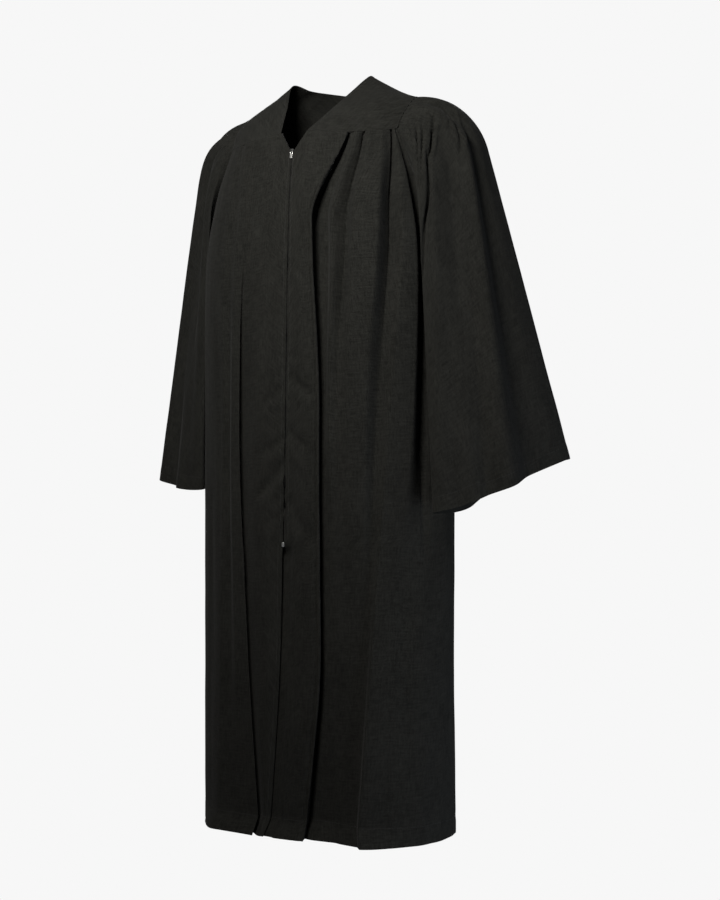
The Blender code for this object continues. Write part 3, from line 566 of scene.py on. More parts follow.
class Drape:
    """Points of one cloth piece on a grid, rows down and columns across, with its lengths.

    Args:
        points: the outer face's points, rows by columns by three.
        closed: the last column joins the first.
        outward: 1 where down crossed with across points out of the cloth, otherwise -1.
    """

    def __init__(self, points: np.ndarray, closed: bool = False, outward: int = 1) -> None:
        """Takes the points and measures them along both ways."""
        self.points = points
        self.closed = closed
        self.outward = outward
        self.across = running_length(points, 1)
        self.down = running_length(points, 0)
        self.allowances = []

    def normals(self) -> np.ndarray:
        """Unit normals out of the cloth, from the neighbouring points."""
        if self.closed:
            wrapped = np.concatenate((self.points[:, -1:], self.points, self.points[:, :1]), 1)
            along = wrapped[:, 2:] - wrapped[:, :-2]
        else:
            along = np.gradient(self.points, axis=1)
        cross = np.cross(np.gradient(self.points, axis=0), along) * self.outward
        return cross / np.maximum(np.linalg.norm(cross, axis=-1, keepdims=True), 1e-12)

    def lift(self, height: np.ndarray) -> None:
        """Moves each point out along its normal."""
        self.points = self.points + self.normals() * height[..., None]

    def area(self) -> float:
        """Area of the outer face, from the cross products of each cell's two diagonals."""
        grid = np.concatenate((self.points, self.points[:, :1]), 1) if self.closed else self.points
        first = grid[1:, 1:] - grid[:-1, :-1]
        second = grid[1:, :-1] - grid[:-1, 1:]
        return float(np.linalg.norm(np.cross(first, second), axis=-1).sum() / 2)

    def from_edge(self, edge: str) -> np.ndarray:
        """Distance of each point from the top, the bottom, the first or the last column."""
        if edge == "top":
            return self.down
        if edge == "bottom":
            return self.down[-1:] - self.down
        if edge == "first":
            return self.across
        return self.across[:, -1:] - self.across

    def turn(self, *edges: str, radius: float = 0.0016, depth: float = 0.0011) -> None:
        """Turns free edges inwards: a quarter round of the radius, parabolic in height.

        Args:
            edges: names of the edges.
            radius: how far from the edge the turn starts.
            depth: how far in the edge goes.
        """
        height = np.zeros(self.points.shape[:2])
        for edge in edges:
            near = np.clip(1 - self.from_edge(edge) / radius, 0, 1)
            height = np.minimum(height, -depth * near ** 2)
        self.lift(height)

    def sew(self, *edges: str, radius: float = 0.0016, depth: float = 0.0011) -> None:
        """Turns edges in to a seam: parabolic in depth, level with the ground towards the axis.

        Both panels of a seam share the line and so the direction, and the seam stays shut.

        Args:
            edges: names of the edges.
            radius: how far from the edge the turn starts.
            depth: how far in the edge goes.
        """
        for edge in edges:
            line = self.points[EDGES[edge]] * (1.0, 1.0, 0.0)
            inward = -line / np.linalg.norm(line, axis=-1, keepdims=True)
            near = np.clip(1 - self.from_edge(edge) / radius, 0, 1)[..., None]
            self.points = self.points + inward * depth * near ** 2
            self.allowances.append((edge, inward))

    def add_allowances(self, width: float) -> None:
        """Adds a row or column behind each sewn edge, the seam allowance inside the gown.

        Args:
            width: how far each one goes in, in metres.
        """
        for edge, inward in self.allowances:
            axis = 0 if edge in ("top", "bottom") else 1
            start = edge in ("top", "first")
            short = self.points.shape[1 - axis] - inward.shape[1 - axis]
            if short:
                corner = np.take(inward, [-1], 1 - axis)
                inward = np.concatenate((inward,) + (corner,) * short, 1 - axis)
            strip = self.points[EDGES[edge]] + inward * width
            parts = [(strip, self.points)]
            for name, grid in (("across", self.across), ("down", self.down)):
                step = (-width if start else width) * ((name == "down") == (axis == 0))
                beyond = grid[EDGES[edge]] + step
                parts.append((beyond, grid))
            self.points, self.across, self.down = (
                np.concatenate(pair if start else pair[::-1], axis) for pair in parts)
        self.allowances = []

    def hem(self, edge: str, width: float, raised: float = 0.00035, groove: float = 0.0005) -> None:
        """Doubles the cloth along an edge, with the stitched line sunk at the hem's top.

        Args:
            edge: name of the edge.
            width: width of the hem.
            raised: how far the doubled cloth stands out.
            groove: how far the stitched line is sunk.
        """
        away = self.from_edge(edge)
        band = raised * ease((width - away) / 0.0015 + 0.5)
        sunk = groove * np.exp(-((away - width) / 0.0016) ** 2)
        self.lift(band - sunk)

    def crease(
        self, angle: np.ndarray, level: np.ndarray, creases: Sequence, scale: float
    ) -> None:
        """Adds creases: each a bell curve across its line, faded towards the two ends.

        Args:
            angle: each point's angle, in degrees.
            level: each point's level or distance down.
            creases: the creases, in the same terms.
            scale: metres across for each degree.
        """
        height = np.zeros(self.points.shape[:2])
        for fold in creases:
            start = np.array((fold.angle * scale, fold.level))
            run = np.array((fold.angle_end * scale, fold.level_end)) - start
            size = np.hypot(*run)
            run /= size
            x = angle * scale - start[0]
            y = level - start[1]
            share = (x * run[0] + y * run[1]) / size
            aside = x * run[1] - y * run[0]
            bow = fold.bow * MILLI * 4 * share * (1 - share)
            bell = np.exp(-((aside - bow) / (fold.half_width * MILLI)) ** 2)
            fade = np.clip(1 - (2 * np.clip(share, 0, 1) - 1) ** 4, 0, 1)
            fade = fade * ((share > 0) & (share < 1))
            height += fold.height * MILLI * bell * fade
        self.lift(height)

    def pleat(self, aside: np.ndarray, lap: np.ndarray, depth: float, half_width: float) -> None:
        """Laps one edge over the next stretch: a step that dies away, with a groove under it.

        Args:
            aside: signed distance of each point from the pleat's line.
            lap: height of the step at each point, in millimetres.
            depth: depth of the groove for each millimetre of the step.
            half_width: half width of the groove in millimetres.
        """
        step = -np.tanh(aside / 0.0012) * np.exp(-np.abs(aside) / 0.011)
        groove = np.exp(-((aside / MILLI - half_width * 0.4) / half_width) ** 2)
        self.lift(lap * MILLI * (step - depth * groove))

    def line(self, edge: str, distance: float, raised: float) -> np.ndarray:
        """Points of the line that runs at a distance from an edge, lifted off the cloth.

        Args:
            edge: name of the edge.
            distance: distance from it.
            raised: how far the line is lifted.

        Returns:
            One point for each column, or for each row along the first or last column.
        """
        normals = self.normals()
        away = self.from_edge(edge)
        if edge in ("top", "bottom"):
            pick = np.argmin(np.abs(away - distance), axis=0)
            index = (pick, np.arange(len(pick)))
        else:
            pick = np.argmin(np.abs(away - distance), axis=1)
            index = (np.arange(len(pick)), pick)
        return self.points[index] + normals[index] * raised

    def build(self, name: str, thickness: float) -> bpy.types.Object:
        """Makes the shell's mesh, with the threads' lengths in metres as its UV map.

        Args:
            name: the piece's name.
            thickness: thickness of the shell.

        Returns:
            The piece.
        """
        self.add_allowances(SEAM_ALLOWANCE)
        rows, columns = self.points.shape[:2]
        quads = grid_quads(rows, columns, across=self.closed)
        if self.outward < 0:
            quads = quads[:, ::-1]
        mesh = new_mesh(name, self.points.reshape(-1, 3), quads)
        threads = np.stack((self.across, self.down), -1).reshape(-1, 2)
        layer = mesh.uv_layers.new(name="threads")
        layer.data.foreach_set("uv", threads[quads.ravel()].ravel().astype(np.float32))
        piece = link(name, mesh)
        shell = piece.modifiers.new("shell", "SOLIDIFY")
        shell.thickness = thickness
        shell.offset = -1.0
        LOG.info("%s: %.3f square metres", name, self.area())
        return piece


def new_mesh(name: str, points: np.ndarray, faces: np.ndarray) -> bpy.types.Mesh:
    """Mesh from whole arrays of points and of faces with equal numbers of corners."""
    mesh = bpy.data.meshes.new(name)
    corners = faces.shape[1]
    mesh.vertices.add(len(points))
    mesh.vertices.foreach_set("co", np.ascontiguousarray(points, np.float32).ravel())
    mesh.loops.add(faces.size)
    mesh.loops.foreach_set("vertex_index", np.ascontiguousarray(faces, np.int32).ravel())
    mesh.polygons.add(len(faces))
    mesh.polygons.foreach_set("loop_start", np.arange(0, faces.size, corners, dtype=np.int32))
    mesh.polygons.foreach_set("use_smooth", np.ones(len(faces), bool))
    mesh.update(calc_edges=True)
    mesh.validate()
    return mesh


def grid_quads(rows: int, columns: int, across: bool = False, down: bool = False) -> np.ndarray:
    """Corner indices of a grid's cells, joined up across or down where that is asked.

    Args:
        rows: number of rows of points.
        columns: number of columns of points.
        across: the last column joins the first.
        down: the last row joins the first.

    Returns:
        Four indices for each cell.
    """
    index = np.arange(rows * columns).reshape(rows, columns)
    if across:
        index = np.concatenate((index, index[:, :1]), 1)
    if down:
        index = np.concatenate((index, index[:1]), 0)
    quads = np.stack((index[:-1, :-1], index[1:, :-1], index[1:, 1:], index[:-1, 1:]), -1)
    return quads.reshape(-1, 4)


def solid_mesh(name: str, grids: list) -> bpy.types.Mesh:
    """One mesh of closed surfaces, turned to face outwards by the sign of each one's volume.

    Args:
        name: the mesh's name.
        grids: pairs of a grid of points, joined up across, and whether it joins up down too.

    Returns:
        The mesh.
    """
    points, faces, count = [], [], 0
    for grid, ring in grids:
        flat = grid.reshape(-1, 3)
        quads = grid_quads(*grid.shape[:2], across=True, down=ring)
        a, b, c, d = (flat[quads[:, k]] - flat.mean(0) for k in range(4))
        volume = (a * np.cross(b, c)).sum() + (a * np.cross(c, d)).sum()
        faces.append((quads if volume > 0 else quads[:, ::-1]) + count)
        points.append(flat)
        count += len(flat)
    return new_mesh(name, np.concatenate(points), np.concatenate(faces))


def link(name: str, mesh: bpy.types.Mesh) -> bpy.types.Object:
    """New object in the scene."""
    piece = bpy.data.objects.new(name, mesh)
    bpy.context.scene.collection.objects.link(piece)
    return piece


def spread(count: int, length: float, first: bool, last: bool) -> np.ndarray:
    """Even parameters from 0 to 1, with closer ones where a seamed edge turns in.

    Args:
        count: number of even steps.
        length: the grid's length in metres.
        first: close steps at 0.
        last: close steps at 1.

    Returns:
        The sorted parameters.
    """
    close = np.array(CLOSE_ROWS) / length
    clear = close[-1] * CLOSE_ROWS_CLEAR
    even = np.linspace(0, 1, count + 1)
    if first:
        even = np.concatenate((close, even[(even == 0) | (even > clear)]))
    if last:
        even = np.concatenate((1 - close, even[(even == 1) | (even < 1 - clear)]))
    return np.sort(even)


def gathered(columns: int, lines: int, length: float) -> np.ndarray:
    """Parameters from 0 to 1, closer at each fold line and at both seamed edges.

    Args:
        columns: steps between two fold lines.
        lines: number of stretches between fold lines.
        length: the grid's width in metres.

    Returns:
        The sorted parameters.
    """
    even = np.arange(columns * lines + 1) / columns
    close = even - FOLD_CROWDING * np.sin(2 * np.pi * even)
    edge = spread(1, length, True, True)[1:-1]
    low = edge[edge < 0.5].max() * CLOSE_ROWS_CLEAR
    high = edge[edge > 0.5].min() * CLOSE_ROWS_CLEAR - (CLOSE_ROWS_CLEAR - 1)
    inner = close[1:-1] / lines
    inner = inner[(inner > low) & (inner < high)]
    return np.sort(np.concatenate(((0.0, 1.0), edge, inner)))


Value = Union["Node", float, None]


class Node:
    """A shader node's output, so that maths on it is written as plain arithmetic.

    Args:
        tree: the node tree that new nodes go into.
        socket: the output socket it stands for.
    """

    def __init__(self, tree: bpy.types.NodeTree, socket: bpy.types.NodeSocket) -> None:
        """Wraps the socket."""
        self.tree = tree
        self.socket = socket

    @staticmethod
    def make(
        tree: bpy.types.NodeTree, kind: str, settings: dict = None, inputs: dict = None,
        output: int | str = 0,
    ) -> "Node":
        """Adds any node by its type, settings and inputs, and returns one of its outputs."""
        node = tree.nodes.new(kind)
        for key, value in (settings or {}).items():
            setattr(node, key, value)
        for key, value in (inputs or {}).items():
            if isinstance(value, Node):
                tree.links.new(value.socket, node.inputs[key])
            else:
                node.inputs[key].default_value = value
        return Node(tree, node.outputs[output])

    def maths(self, operation: str, other: Value = None, swap: bool = False) -> "Node":
        """A Math node of this output and another value."""
        pair = (other, self) if swap else (self, other)
        inputs = {k: v for k, v in enumerate(pair) if v is not None}
        return Node.make(self.tree, "ShaderNodeMath", {"operation": operation}, inputs)

    def __add__(self, other: Value) -> "Node":
        """Sum with another output or a number."""
        return self.maths("ADD", other)

    __radd__ = __add__

    def __mul__(self, other: Value) -> "Node":
        """Product with another output or a number."""
        return self.maths("MULTIPLY", other)

    __rmul__ = __mul__

    def __sub__(self, other: Value) -> "Node":
        """Difference to another output or a number."""
        return self.maths("SUBTRACT", other)

    def __rsub__(self, other: Value) -> "Node":
        """A number less this output."""
        return self.maths("SUBTRACT", other, swap=True)

    def __truediv__(self, other: Value) -> "Node":
        """Quotient by another output or a number."""
        return self.maths("DIVIDE", other)

    def __rtruediv__(self, other: Value) -> "Node":
        """A number over this output."""
        return self.maths("DIVIDE", other, swap=True)

    def __neg__(self) -> "Node":
        """The same with its sign turned."""
        return self.maths("MULTIPLY", -1.0)

    def sine(self) -> "Node":
        """Its sine."""
        return self.maths("SINE")

    def beside(self, output: int) -> "Node":
        """Another output of the same node."""
        return Node(self.tree, self.socket.node.outputs[output])

    def mix(self, low: tuple, high: tuple) -> "Node":
        """Colour mixed from low to high by this factor."""
        settings = {"data_type": "RGBA"}
        return Node.make(self.tree, "ShaderNodeMix", settings, {0: self, 6: low, 7: high}, output=2)


class Surface:
    """A material's Principled shader, ready to be set.

    Args:
        name: the material's name.
        constants: values of the shader's sockets.
    """

    def __init__(self, name: str, constants: dict) -> None:
        """Makes the material and sets the constants."""
        self.material = bpy.data.materials.new(name)
        self.material.use_nodes = True
        self.tree = self.material.node_tree
        self.shader = self.tree.nodes["Principled BSDF"]
        for key, value in constants.items():
            self.shader.inputs[key].default_value = value

    def node(
        self, kind: str, settings: dict = None, inputs: dict = None, output: int | str = 0
    ) -> Node:
        """Adds a node of the given type."""
        return Node.make(self.tree, kind, settings, inputs, output)

    def noise(self, vector: Node, scale: float, detail: float = 2.0) -> Node:
        """Noise value over a vector."""
        inputs = {"Vector": vector, "Scale": scale, "Detail": detail}
        return self.node("ShaderNodeTexNoise", None, inputs)

    def stretch(self, vector: Node, scale: tuple) -> Node:
        """The vector scaled along each axis."""
        settings = {"operation": "MULTIPLY"}
        return self.node("ShaderNodeVectorMath", settings, {0: vector, 1: scale})

    def set(self, key: str, value: Node) -> None:
        """Links a value to one of the shader's sockets."""
        self.tree.links.new(value.socket, self.shader.inputs[key])

    def bump(self, height: Node, distance: float, strength: float = 1.0) -> None:
        """Bumps the surface by a height from 0 to 1."""
        inputs = {"Height": height, "Distance": distance, "Strength": strength}
        self.set("Normal", self.node("ShaderNodeBump", None, inputs))


@dataclass(frozen=True)
class ClothFinish:
    """Matt black woven cloth.

    Attributes:
        colour: mean colour.
        vary: how far the colour goes to each side, as a share.
        roughness: roughness of the threads.
        sheen: weight of the fibres' sheen.
        thread: spacing of the threads in metres.
        relief: height of the threads in metres.
        grain: weight of the uneven threads in the colour.
        cloud: weight of the slow change in the colour.
        weave: weight of the plain weave in the colour.
    """

    colour: tuple
    vary: float = 0.40
    roughness: float = 1.0
    sheen: float = 0.009
    thread: float = 0.0006
    relief: float = 0.00005
    grain: float = 4.6
    cloud: float = 0.8
    weave: float = 0.10

    def make(self, name: str) -> bpy.types.Material:
        """Builds the material: a plain weave, uneven threads and a slow change of depth."""
        surface = Surface(name, {
            "Roughness": self.roughness, "Specular IOR Level": 0.03,
            "Sheen Weight": self.sheen, "Sheen Roughness": 0.45,
        })
        threads = surface.node("ShaderNodeUVMap", {"uv_map": "threads"})
        u = surface.node("ShaderNodeSeparateXYZ", None, {0: threads})
        v = u.beside(1)
        wave = 2 * np.pi / self.thread
        weave = (u * wave).sine() * (v * wave).sine()
        warp = surface.noise(surface.stretch(threads, (420.0, 50.0, 1.0)), 1.0)
        weft = surface.noise(surface.stretch(threads, (45.0, 380.0, 1.0)), 1.0)
        fleck = surface.noise(surface.stretch(threads, (380.0, 380.0, 1.0)), 1.0)
        cloud = surface.noise(surface.stretch(threads, (26.0, 9.0, 1.0)), 1.0, 3.0)
        grain = warp * 0.33 + weft * 0.33 + fleck * 0.34
        surface.bump(weave * 0.15 + warp * 0.5 + weft * 0.5, self.relief * 4)
        light = tuple(c * (1 + self.vary) for c in self.colour) + (1.0,)
        dark = tuple(c * (1 - self.vary) for c in self.colour) + (1.0,)
        tone = grain * self.grain + cloud * self.cloud + weave * self.weave - 2.2
        surface.set("Base Color", tone.mix(dark, light))
        return surface.material


@dataclass(frozen=True)
class MetalFinish:
    """Plated or painted zip metal with fine wear.

    Attributes:
        colour: base colour.
        roughness: mean roughness.
    """

    colour: tuple
    roughness: float

    def make(self, name: str) -> bpy.types.Material:
        """Builds the material: roughness varied by fine noise."""
        surface = Surface(name, {"Base Color": self.colour + (1.0,), "Metallic": 1.0})
        place = surface.node("ShaderNodeTexCoord", None, None, "Object")
        wear = surface.noise(place, 900.0, 3.0)
        surface.set("Roughness", wear * 0.25 + (self.roughness - 0.12))
        surface.bump(surface.noise(place, 2500.0), 0.00004, 0.4)
        return surface.material


@dataclass(frozen=True)
class PlasticFinish:
    """Plain moulded plastic, here the zip's coil.

    Attributes:
        colour: base colour.
        roughness: mean roughness.
    """

    colour: tuple
    roughness: float

    def make(self, name: str) -> bpy.types.Material:
        """Builds the material: roughness varied by fine noise."""
        surface = Surface(name, {"Base Color": self.colour + (1.0,), "Specular IOR Level": 0.05})
        place = surface.node("ShaderNodeTexCoord", None, None, "Object")
        surface.set("Roughness", surface.noise(place, 600.0) * 0.2 + (self.roughness - 0.1))
        return surface.material


@dataclass(frozen=True)
class Palette:
    """Finishes of the whole gown.

    Attributes:
        cloth: black gown cloth.
        thread: sewing thread.
        tape: the zip's woven tapes.
        coil: the zip's teeth.
        dark_metal: the slider's painted metal.
        silver: the pull's and the stop's bare metal.
    """

    cloth: bpy.types.Material
    thread: bpy.types.Material
    tape: bpy.types.Material
    coil: bpy.types.Material
    dark_metal: bpy.types.Material
    silver: bpy.types.Material


def finished(
    piece: bpy.types.Object, material: bpy.types.Material, slot: str, body: str = "gown", *nodes: str
) -> bpy.types.Object:
    """Gives a piece its material and the body it rides on, and hides the nodes it stands for.

    Args:
        piece: the piece.
        material: its material.
        slot: its slot; not used.
        body: the body it rides on.
        nodes: the nodes it replaces.

    Returns:
        The same piece.
    """
    piece.data.materials.append(material)
    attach(piece, body)
    if nodes:
        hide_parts(*nodes)
    return piece


@dataclass(frozen=True)
class Stitching:
    """Rows of lockstitches, each stitch a small bar of thread that dips in at both ends.

    Attributes:
        pitch: length of a stitch with its gap.
        length: length of the thread that shows.
        width: thickness of the thread.
    """

    pitch: float = 0.0030
    length: float = 0.0024
    width: float = 0.00042

    def bars(self, line: np.ndarray) -> tuple:
        """Starts and ends of the stitches along a line of points."""
        steps = np.linalg.norm(np.diff(line, axis=0), axis=1)
        run = np.concatenate(((0.0,), np.cumsum(steps)))
        starts = np.arange(self.pitch / 2, run[-1] - self.pitch, self.pitch)
        at = [np.stack([np.interp(starts + shift, run, line[:, k]) for k in range(3)], -1)
              for shift in (0.0, self.length)]
        return at[0], at[1]

    def build(self, name: str, lines: list, material: bpy.types.Material) -> bpy.types.Object:
        """Builds all rows as one mesh of six-sided bars."""
        pairs = [self.bars(line) for line in lines]
        starts = np.concatenate([pair[0] for pair in pairs])
        ends = np.concatenate([pair[1] for pair in pairs])
        piece = link(name, bar_mesh(name, starts, ends, self.width / 2))
        return finished(piece, material, "gown_cloth")


def bar_mesh(name: str, starts: np.ndarray, ends: np.ndarray, radius: float) -> bpy.types.Mesh:
    """Mesh of round-ended bars: rings of six points at 0, 15, 85 and 100 per cent of each.

    Args:
        name: the mesh's name.
        starts: the bars' first ends.
        ends: their second ends.
        radius: their radius.

    Returns:
        One mesh of them all.
    """
    along = ends - starts
    along /= np.linalg.norm(along, axis=1, keepdims=True)
    aside = np.cross(along, (0.31, 0.52, 0.79))
    aside /= np.linalg.norm(aside, axis=1, keepdims=True)
    over = np.cross(along, aside)
    turn = np.radians(np.arange(0, 360, 60))
    ring = aside[:, None] * np.cos(turn)[None, :, None] + over[:, None] * np.sin(turn)[None, :, None]
    shares = ((0.0, 0.35), (0.15, 1.0), (0.85, 1.0), (1.0, 0.35))
    points = np.stack([
        (starts + (ends - starts) * share)[:, None] + ring * (radius * size)
        for share, size in shares
    ], 1)
    count = len(starts)
    first = np.arange(count)[:, None] * 24
    side = np.arange(6)
    following = (side + 1) % 6
    around = np.stack((side, following, following + 6, side + 6), -1)
    faces = [first[..., None] + around + 6 * k for k in range(3)]
    ends_of_six = ((3, 2, 1, 0), (5, 4, 3, 0), (18, 19, 20, 21), (18, 21, 22, 23))
    caps = [first + np.array(corners) for corners in ends_of_six]
    quads = np.concatenate([f.reshape(-1, 4) for f in faces] + caps)
    return new_mesh(name, points.reshape(-1, 3), quads)


@dataclass
class Yoke:
    """Shoulder yoke, cut in one piece round the neck.

    Attributes:
        columns: steps along from one front end to the other.
        rows: steps out from the neck.
        thickness: thickness of the shell.
        flat: width and length of the piece it is cut from; not used.
        area: its cut's area; not used.
        neck_binding: width of the doubled cloth round the neck.
        seam_stitch: how far above its seam the lower row of stitches runs.
    """

    columns: int = 240
    rows: int = 50
    thickness: float = 0.0010
    flat: tuple = (0.56, 0.42)
    area: float = 0.105
    neck_binding: float = 0.006
    seam_stitch: float = 0.0032

    def surface(self, u: np.ndarray, v: np.ndarray) -> np.ndarray:
        """The ribs' blend, mirrored at the centre back: u along, v from the neck outwards."""
        points = YOKE_FORM.points(2 * np.minimum(u, 1 - u), v)
        points[..., 0] *= np.where(u > 0.5, -1, 1)
        return points

    def build(self, palette: Palette) -> list:
        """Builds the yoke and its stitches."""
        across = spread(self.columns, 1.05, True, True)
        u, v = np.meshgrid(across, spread(self.rows, 0.13, True, True))
        drape = Drape(settle(self.surface(u, v)))
        drape.lift(0.0004 * smooth_noise(drape.across, drape.down, 11, 0.11))
        drape.hem("top", self.neck_binding, 0.0003, 0.0004)
        drape.turn("first", "last")
        drape.turn("top", radius=0.0014, depth=0.0007)
        drape.sew("bottom")
        lines = [
            drape.line("top", self.neck_binding, 0.0002),
            drape.line("bottom", self.seam_stitch, 0.0001),
        ]
        piece = drape.build("yoke_cloth", self.thickness)
        finished(piece, palette.cloth, "gown_cloth", "gown", "yoke")
        sewing = Stitching().build("yoke_stitches", lines, palette.thread)
        return [piece, sewing]


@dataclass
class FrontPanel:
    """Front panel from the yoke's seam to the hem, with its pleats.

    Attributes:
        side: the wearer's side it is on.
        folds: its fold lines.
        side_rise: how far its side seam stands out at the stations, in millimetres.
        creases: its soft creases.
        pleats: its sharp pleats.
        flat: width and length of its cut; not used.
        area: its cut's area; not used.
        columns: steps between two fold lines.
        rows: steps down.
        pucker: height of the puckers along the zip.
        scale: metres across for each degree.
        thickness: thickness of the shell.
        hem_width: width of the doubled hem.
        hem_flare: how far the hem's edge stands out near the middle.
        flare_end: angle at which that ends.
        flare_fade: degrees over which it does.
        front_stitch: how far from the open edge the row of stitches runs.
        seam_gap: how far below the yoke's seam its top is.
        side_lap: how far its side seam goes under the back panel's.
        open_shift: half the gap between the fronts along the zip.
        part: how far the right edge parts below the zip.
        part_fade: length over which that gap closes downwards.
        lap: how far the left edge laps under the right one below the zip.
        under: how far in the left edge is there.
        lap_fade: length over which half of that depth goes.
        under_end: where the cloth that goes in ends, in fold lines.
        under_ease: stretch over which it goes in, in fold lines.
        open_above: how far above the stop the edges start to part.
        open_length: length over which they do.
        hold: how far below the stop they stay as they are there.
        tape_behind: how far behind the cloth's face the zip's tape is.
        tape_thickness: thickness of the tape.
        tooth_pitch: distance from one tooth to the next.
        tooth_out: how far in front of the tape the teeth are.
        tooth_radius: radius of a tooth.
        tooth_past: how far past the middle a tooth starts.
        tooth_end: how far from the middle it ends.
        tooth_clear: length left without teeth at the tape's lower end.
    """

    side: Side
    folds: tuple
    side_rise: tuple
    creases: tuple
    pleats: tuple
    flat: tuple
    area: float
    columns: int = 13
    rows: int = 190
    pucker: float = 0.0018
    scale: float = BODY_SCALE
    thickness: float = 0.0009
    hem_width: float = 0.030
    hem_flare: float = 0.015
    flare_end: float = 64
    flare_fade: float = 30
    front_stitch: float = 0.0075
    seam_gap: float = 0.0002
    side_lap: float = 0.0012
    open_shift: float = 0.0008
    part: float = 0.0010
    part_fade: float = 0.08
    lap: float = 0.0120
    under: float = 0.0095
    lap_fade: float = 0.22
    under_end: float = 0.62
    under_ease: float = 0.26
    open_above: float = 0.004
    open_length: float = 0.022
    hold: float = 0.02
    tape_behind: float = 0.0015
    tape_thickness: float = 0.0006
    tooth_pitch: float = 0.0013
    tooth_out: float = 0.00030
    tooth_radius: float = 0.00036
    tooth_past: float = 0.0006
    tooth_end: float = 0.0024
    tooth_clear: float = 0.008

    def lines(self, index: np.ndarray, level: np.ndarray) -> tuple:
        """Angles and rises of fold lines by their index, the last being the side seam."""
        table = np.array(self.folds, float)
        known = np.minimum(index, len(self.folds) - 1)
        angle = station_curve(STATIONS, table[known][..., :5], level, steady=True)
        rise = station_curve(STATIONS, table[known][..., 5:], level, steady=True)
        seam = index == len(self.folds)
        angle = np.where(seam, side_angle(level), angle)
        rise = np.where(seam, station_curve(STATIONS, self.side_rise, level), rise)
        return angle, rise * MILLI

    def top(self, angle: np.ndarray) -> np.ndarray:
        """Top edge by angle: the V's edge, then the yoke's seam."""
        rise = (YOKE_LEVEL - self.seam_gap - V_POINT_LEVEL) * angle / V_EDGE
        edge = body_points(angle, V_POINT_LEVEL + rise)
        inner, outer = np.sin(np.radians((V_EDGE, ARM_CORNER)))
        across = np.clip((np.sin(np.radians(angle)) - inner) / (outer - inner), 0, 1)
        seam = YOKE_FORM.points(0.0, across)
        seam[..., 2] -= self.seam_gap
        return np.where((angle < V_EDGE)[..., None], edge, seam)

    def gape(self, level: np.ndarray) -> tuple:
        """Shift of the open edge below the zip: the right edge parts, the left one laps under it.

        Args:
            level: heights.

        Returns:
            Shifts away from the middle and shifts into the gown.
        """
        below = ease((ZIP_BOTTOM_LEVEL + self.open_above - level) / self.open_length)
        past = np.clip(ZIP_BOTTOM_LEVEL - self.hold - level, 0, None)
        if self.side is Side.RIGHT:
            fade = np.exp(-past / self.part_fade)
            return self.open_shift + self.part * below * fade, np.zeros_like(level)
        fade = np.exp(-past / self.lap_fade)
        return self.open_shift - self.lap * below, self.under * below * (0.5 + 0.5 * fade)

    def surface(self, u: np.ndarray, v: np.ndarray) -> tuple:
        """The fold lines' blend, hung from the top edge: u from the open edge, v downwards."""
        place = u * len(self.folds)
        top_level = self.top_of(place)[1][..., 2]
        level = top_level + (HEM_LEVEL - top_level) * v ** ROW_BIAS
        return (*self.hang(place, level), level)

    def tape_surface(self, u: np.ndarray, v: np.ndarray) -> tuple:
        """The panel's own points along the zip: u from the open edge to the tape's width."""
        level = TAPE_TOP_LEVEL + (TAPE_END_LEVEL - TAPE_TOP_LEVEL) * v
        first, _ = self.lines(np.zeros(u.shape, int), level)
        second, _ = self.lines(np.ones(u.shape, int), level)
        place = u * TAPE_WIDTH / (np.radians(second - first) * BODY[2, 1])
        return (*self.hang(place, level), level)

    def top_of(self, place: np.ndarray) -> tuple:
        """Angles and points of the top edge above places counted in fold lines."""
        start = np.full_like(place, YOKE_LEVEL)
        angle, _ = read_between(lambda k: self.lines(k, start), place, len(self.folds))
        return angle, self.top(angle)

    def hang(self, place: np.ndarray, level: np.ndarray) -> tuple:
        """Points and angles at places counted in fold lines, brought forward to the top edge."""
        last = len(self.folds)
        top_angle, top = self.top_of(place)
        angle, rise = read_between(lambda k: self.lines(k, level), place, last)
        points = body_points(angle, level, rise)
        ahead = top[..., 1] - body_points(top_angle, top[..., 2])[..., 1]
        points[..., 1] += ahead * (1 - ease((top[..., 2] - level) / SEAM_FADE))
        aside, under = self.gape(level)
        points[..., 0] += np.clip(1 - place, 0, 1) ** 2 * aside
        points[..., 1] += ease((self.under_end - place) / self.under_ease) * under
        points[..., 1] += np.clip(place - last + 1, 0, 1) * self.side_lap
        points[..., 0] *= self.side.value
        return points, angle

    def shape(self, drape: Drape, angle: np.ndarray, level: np.ndarray) -> None:
        """Adds the pleats, the puckers along the zip, a soft unevenness and the creases."""
        for pleat in self.pleats:
            line, _ = self.lines(np.full(level.shape, pleat.line), level)
            lap = station_curve(STATIONS, pleat[1:6], level)
            drape.pleat((angle - line) * self.scale * pleat.way, lap, pleat.depth, pleat.half_width)
        zipped = ease((level - ZIP_BOTTOM_LEVEL) / 0.05) * np.exp(-drape.from_edge("first") / 0.011)
        wave = smooth_noise(level * 0.3, level, 5 + self.side.value, 0.045)
        drape.lift(self.pucker * zipped * wave)
        wave = smooth_noise(angle * self.scale, level * 0.3, 21 + self.side.value, 0.075)
        drape.lift(UNEVEN * wave)
        drape.crease(angle, level, self.creases, self.scale)

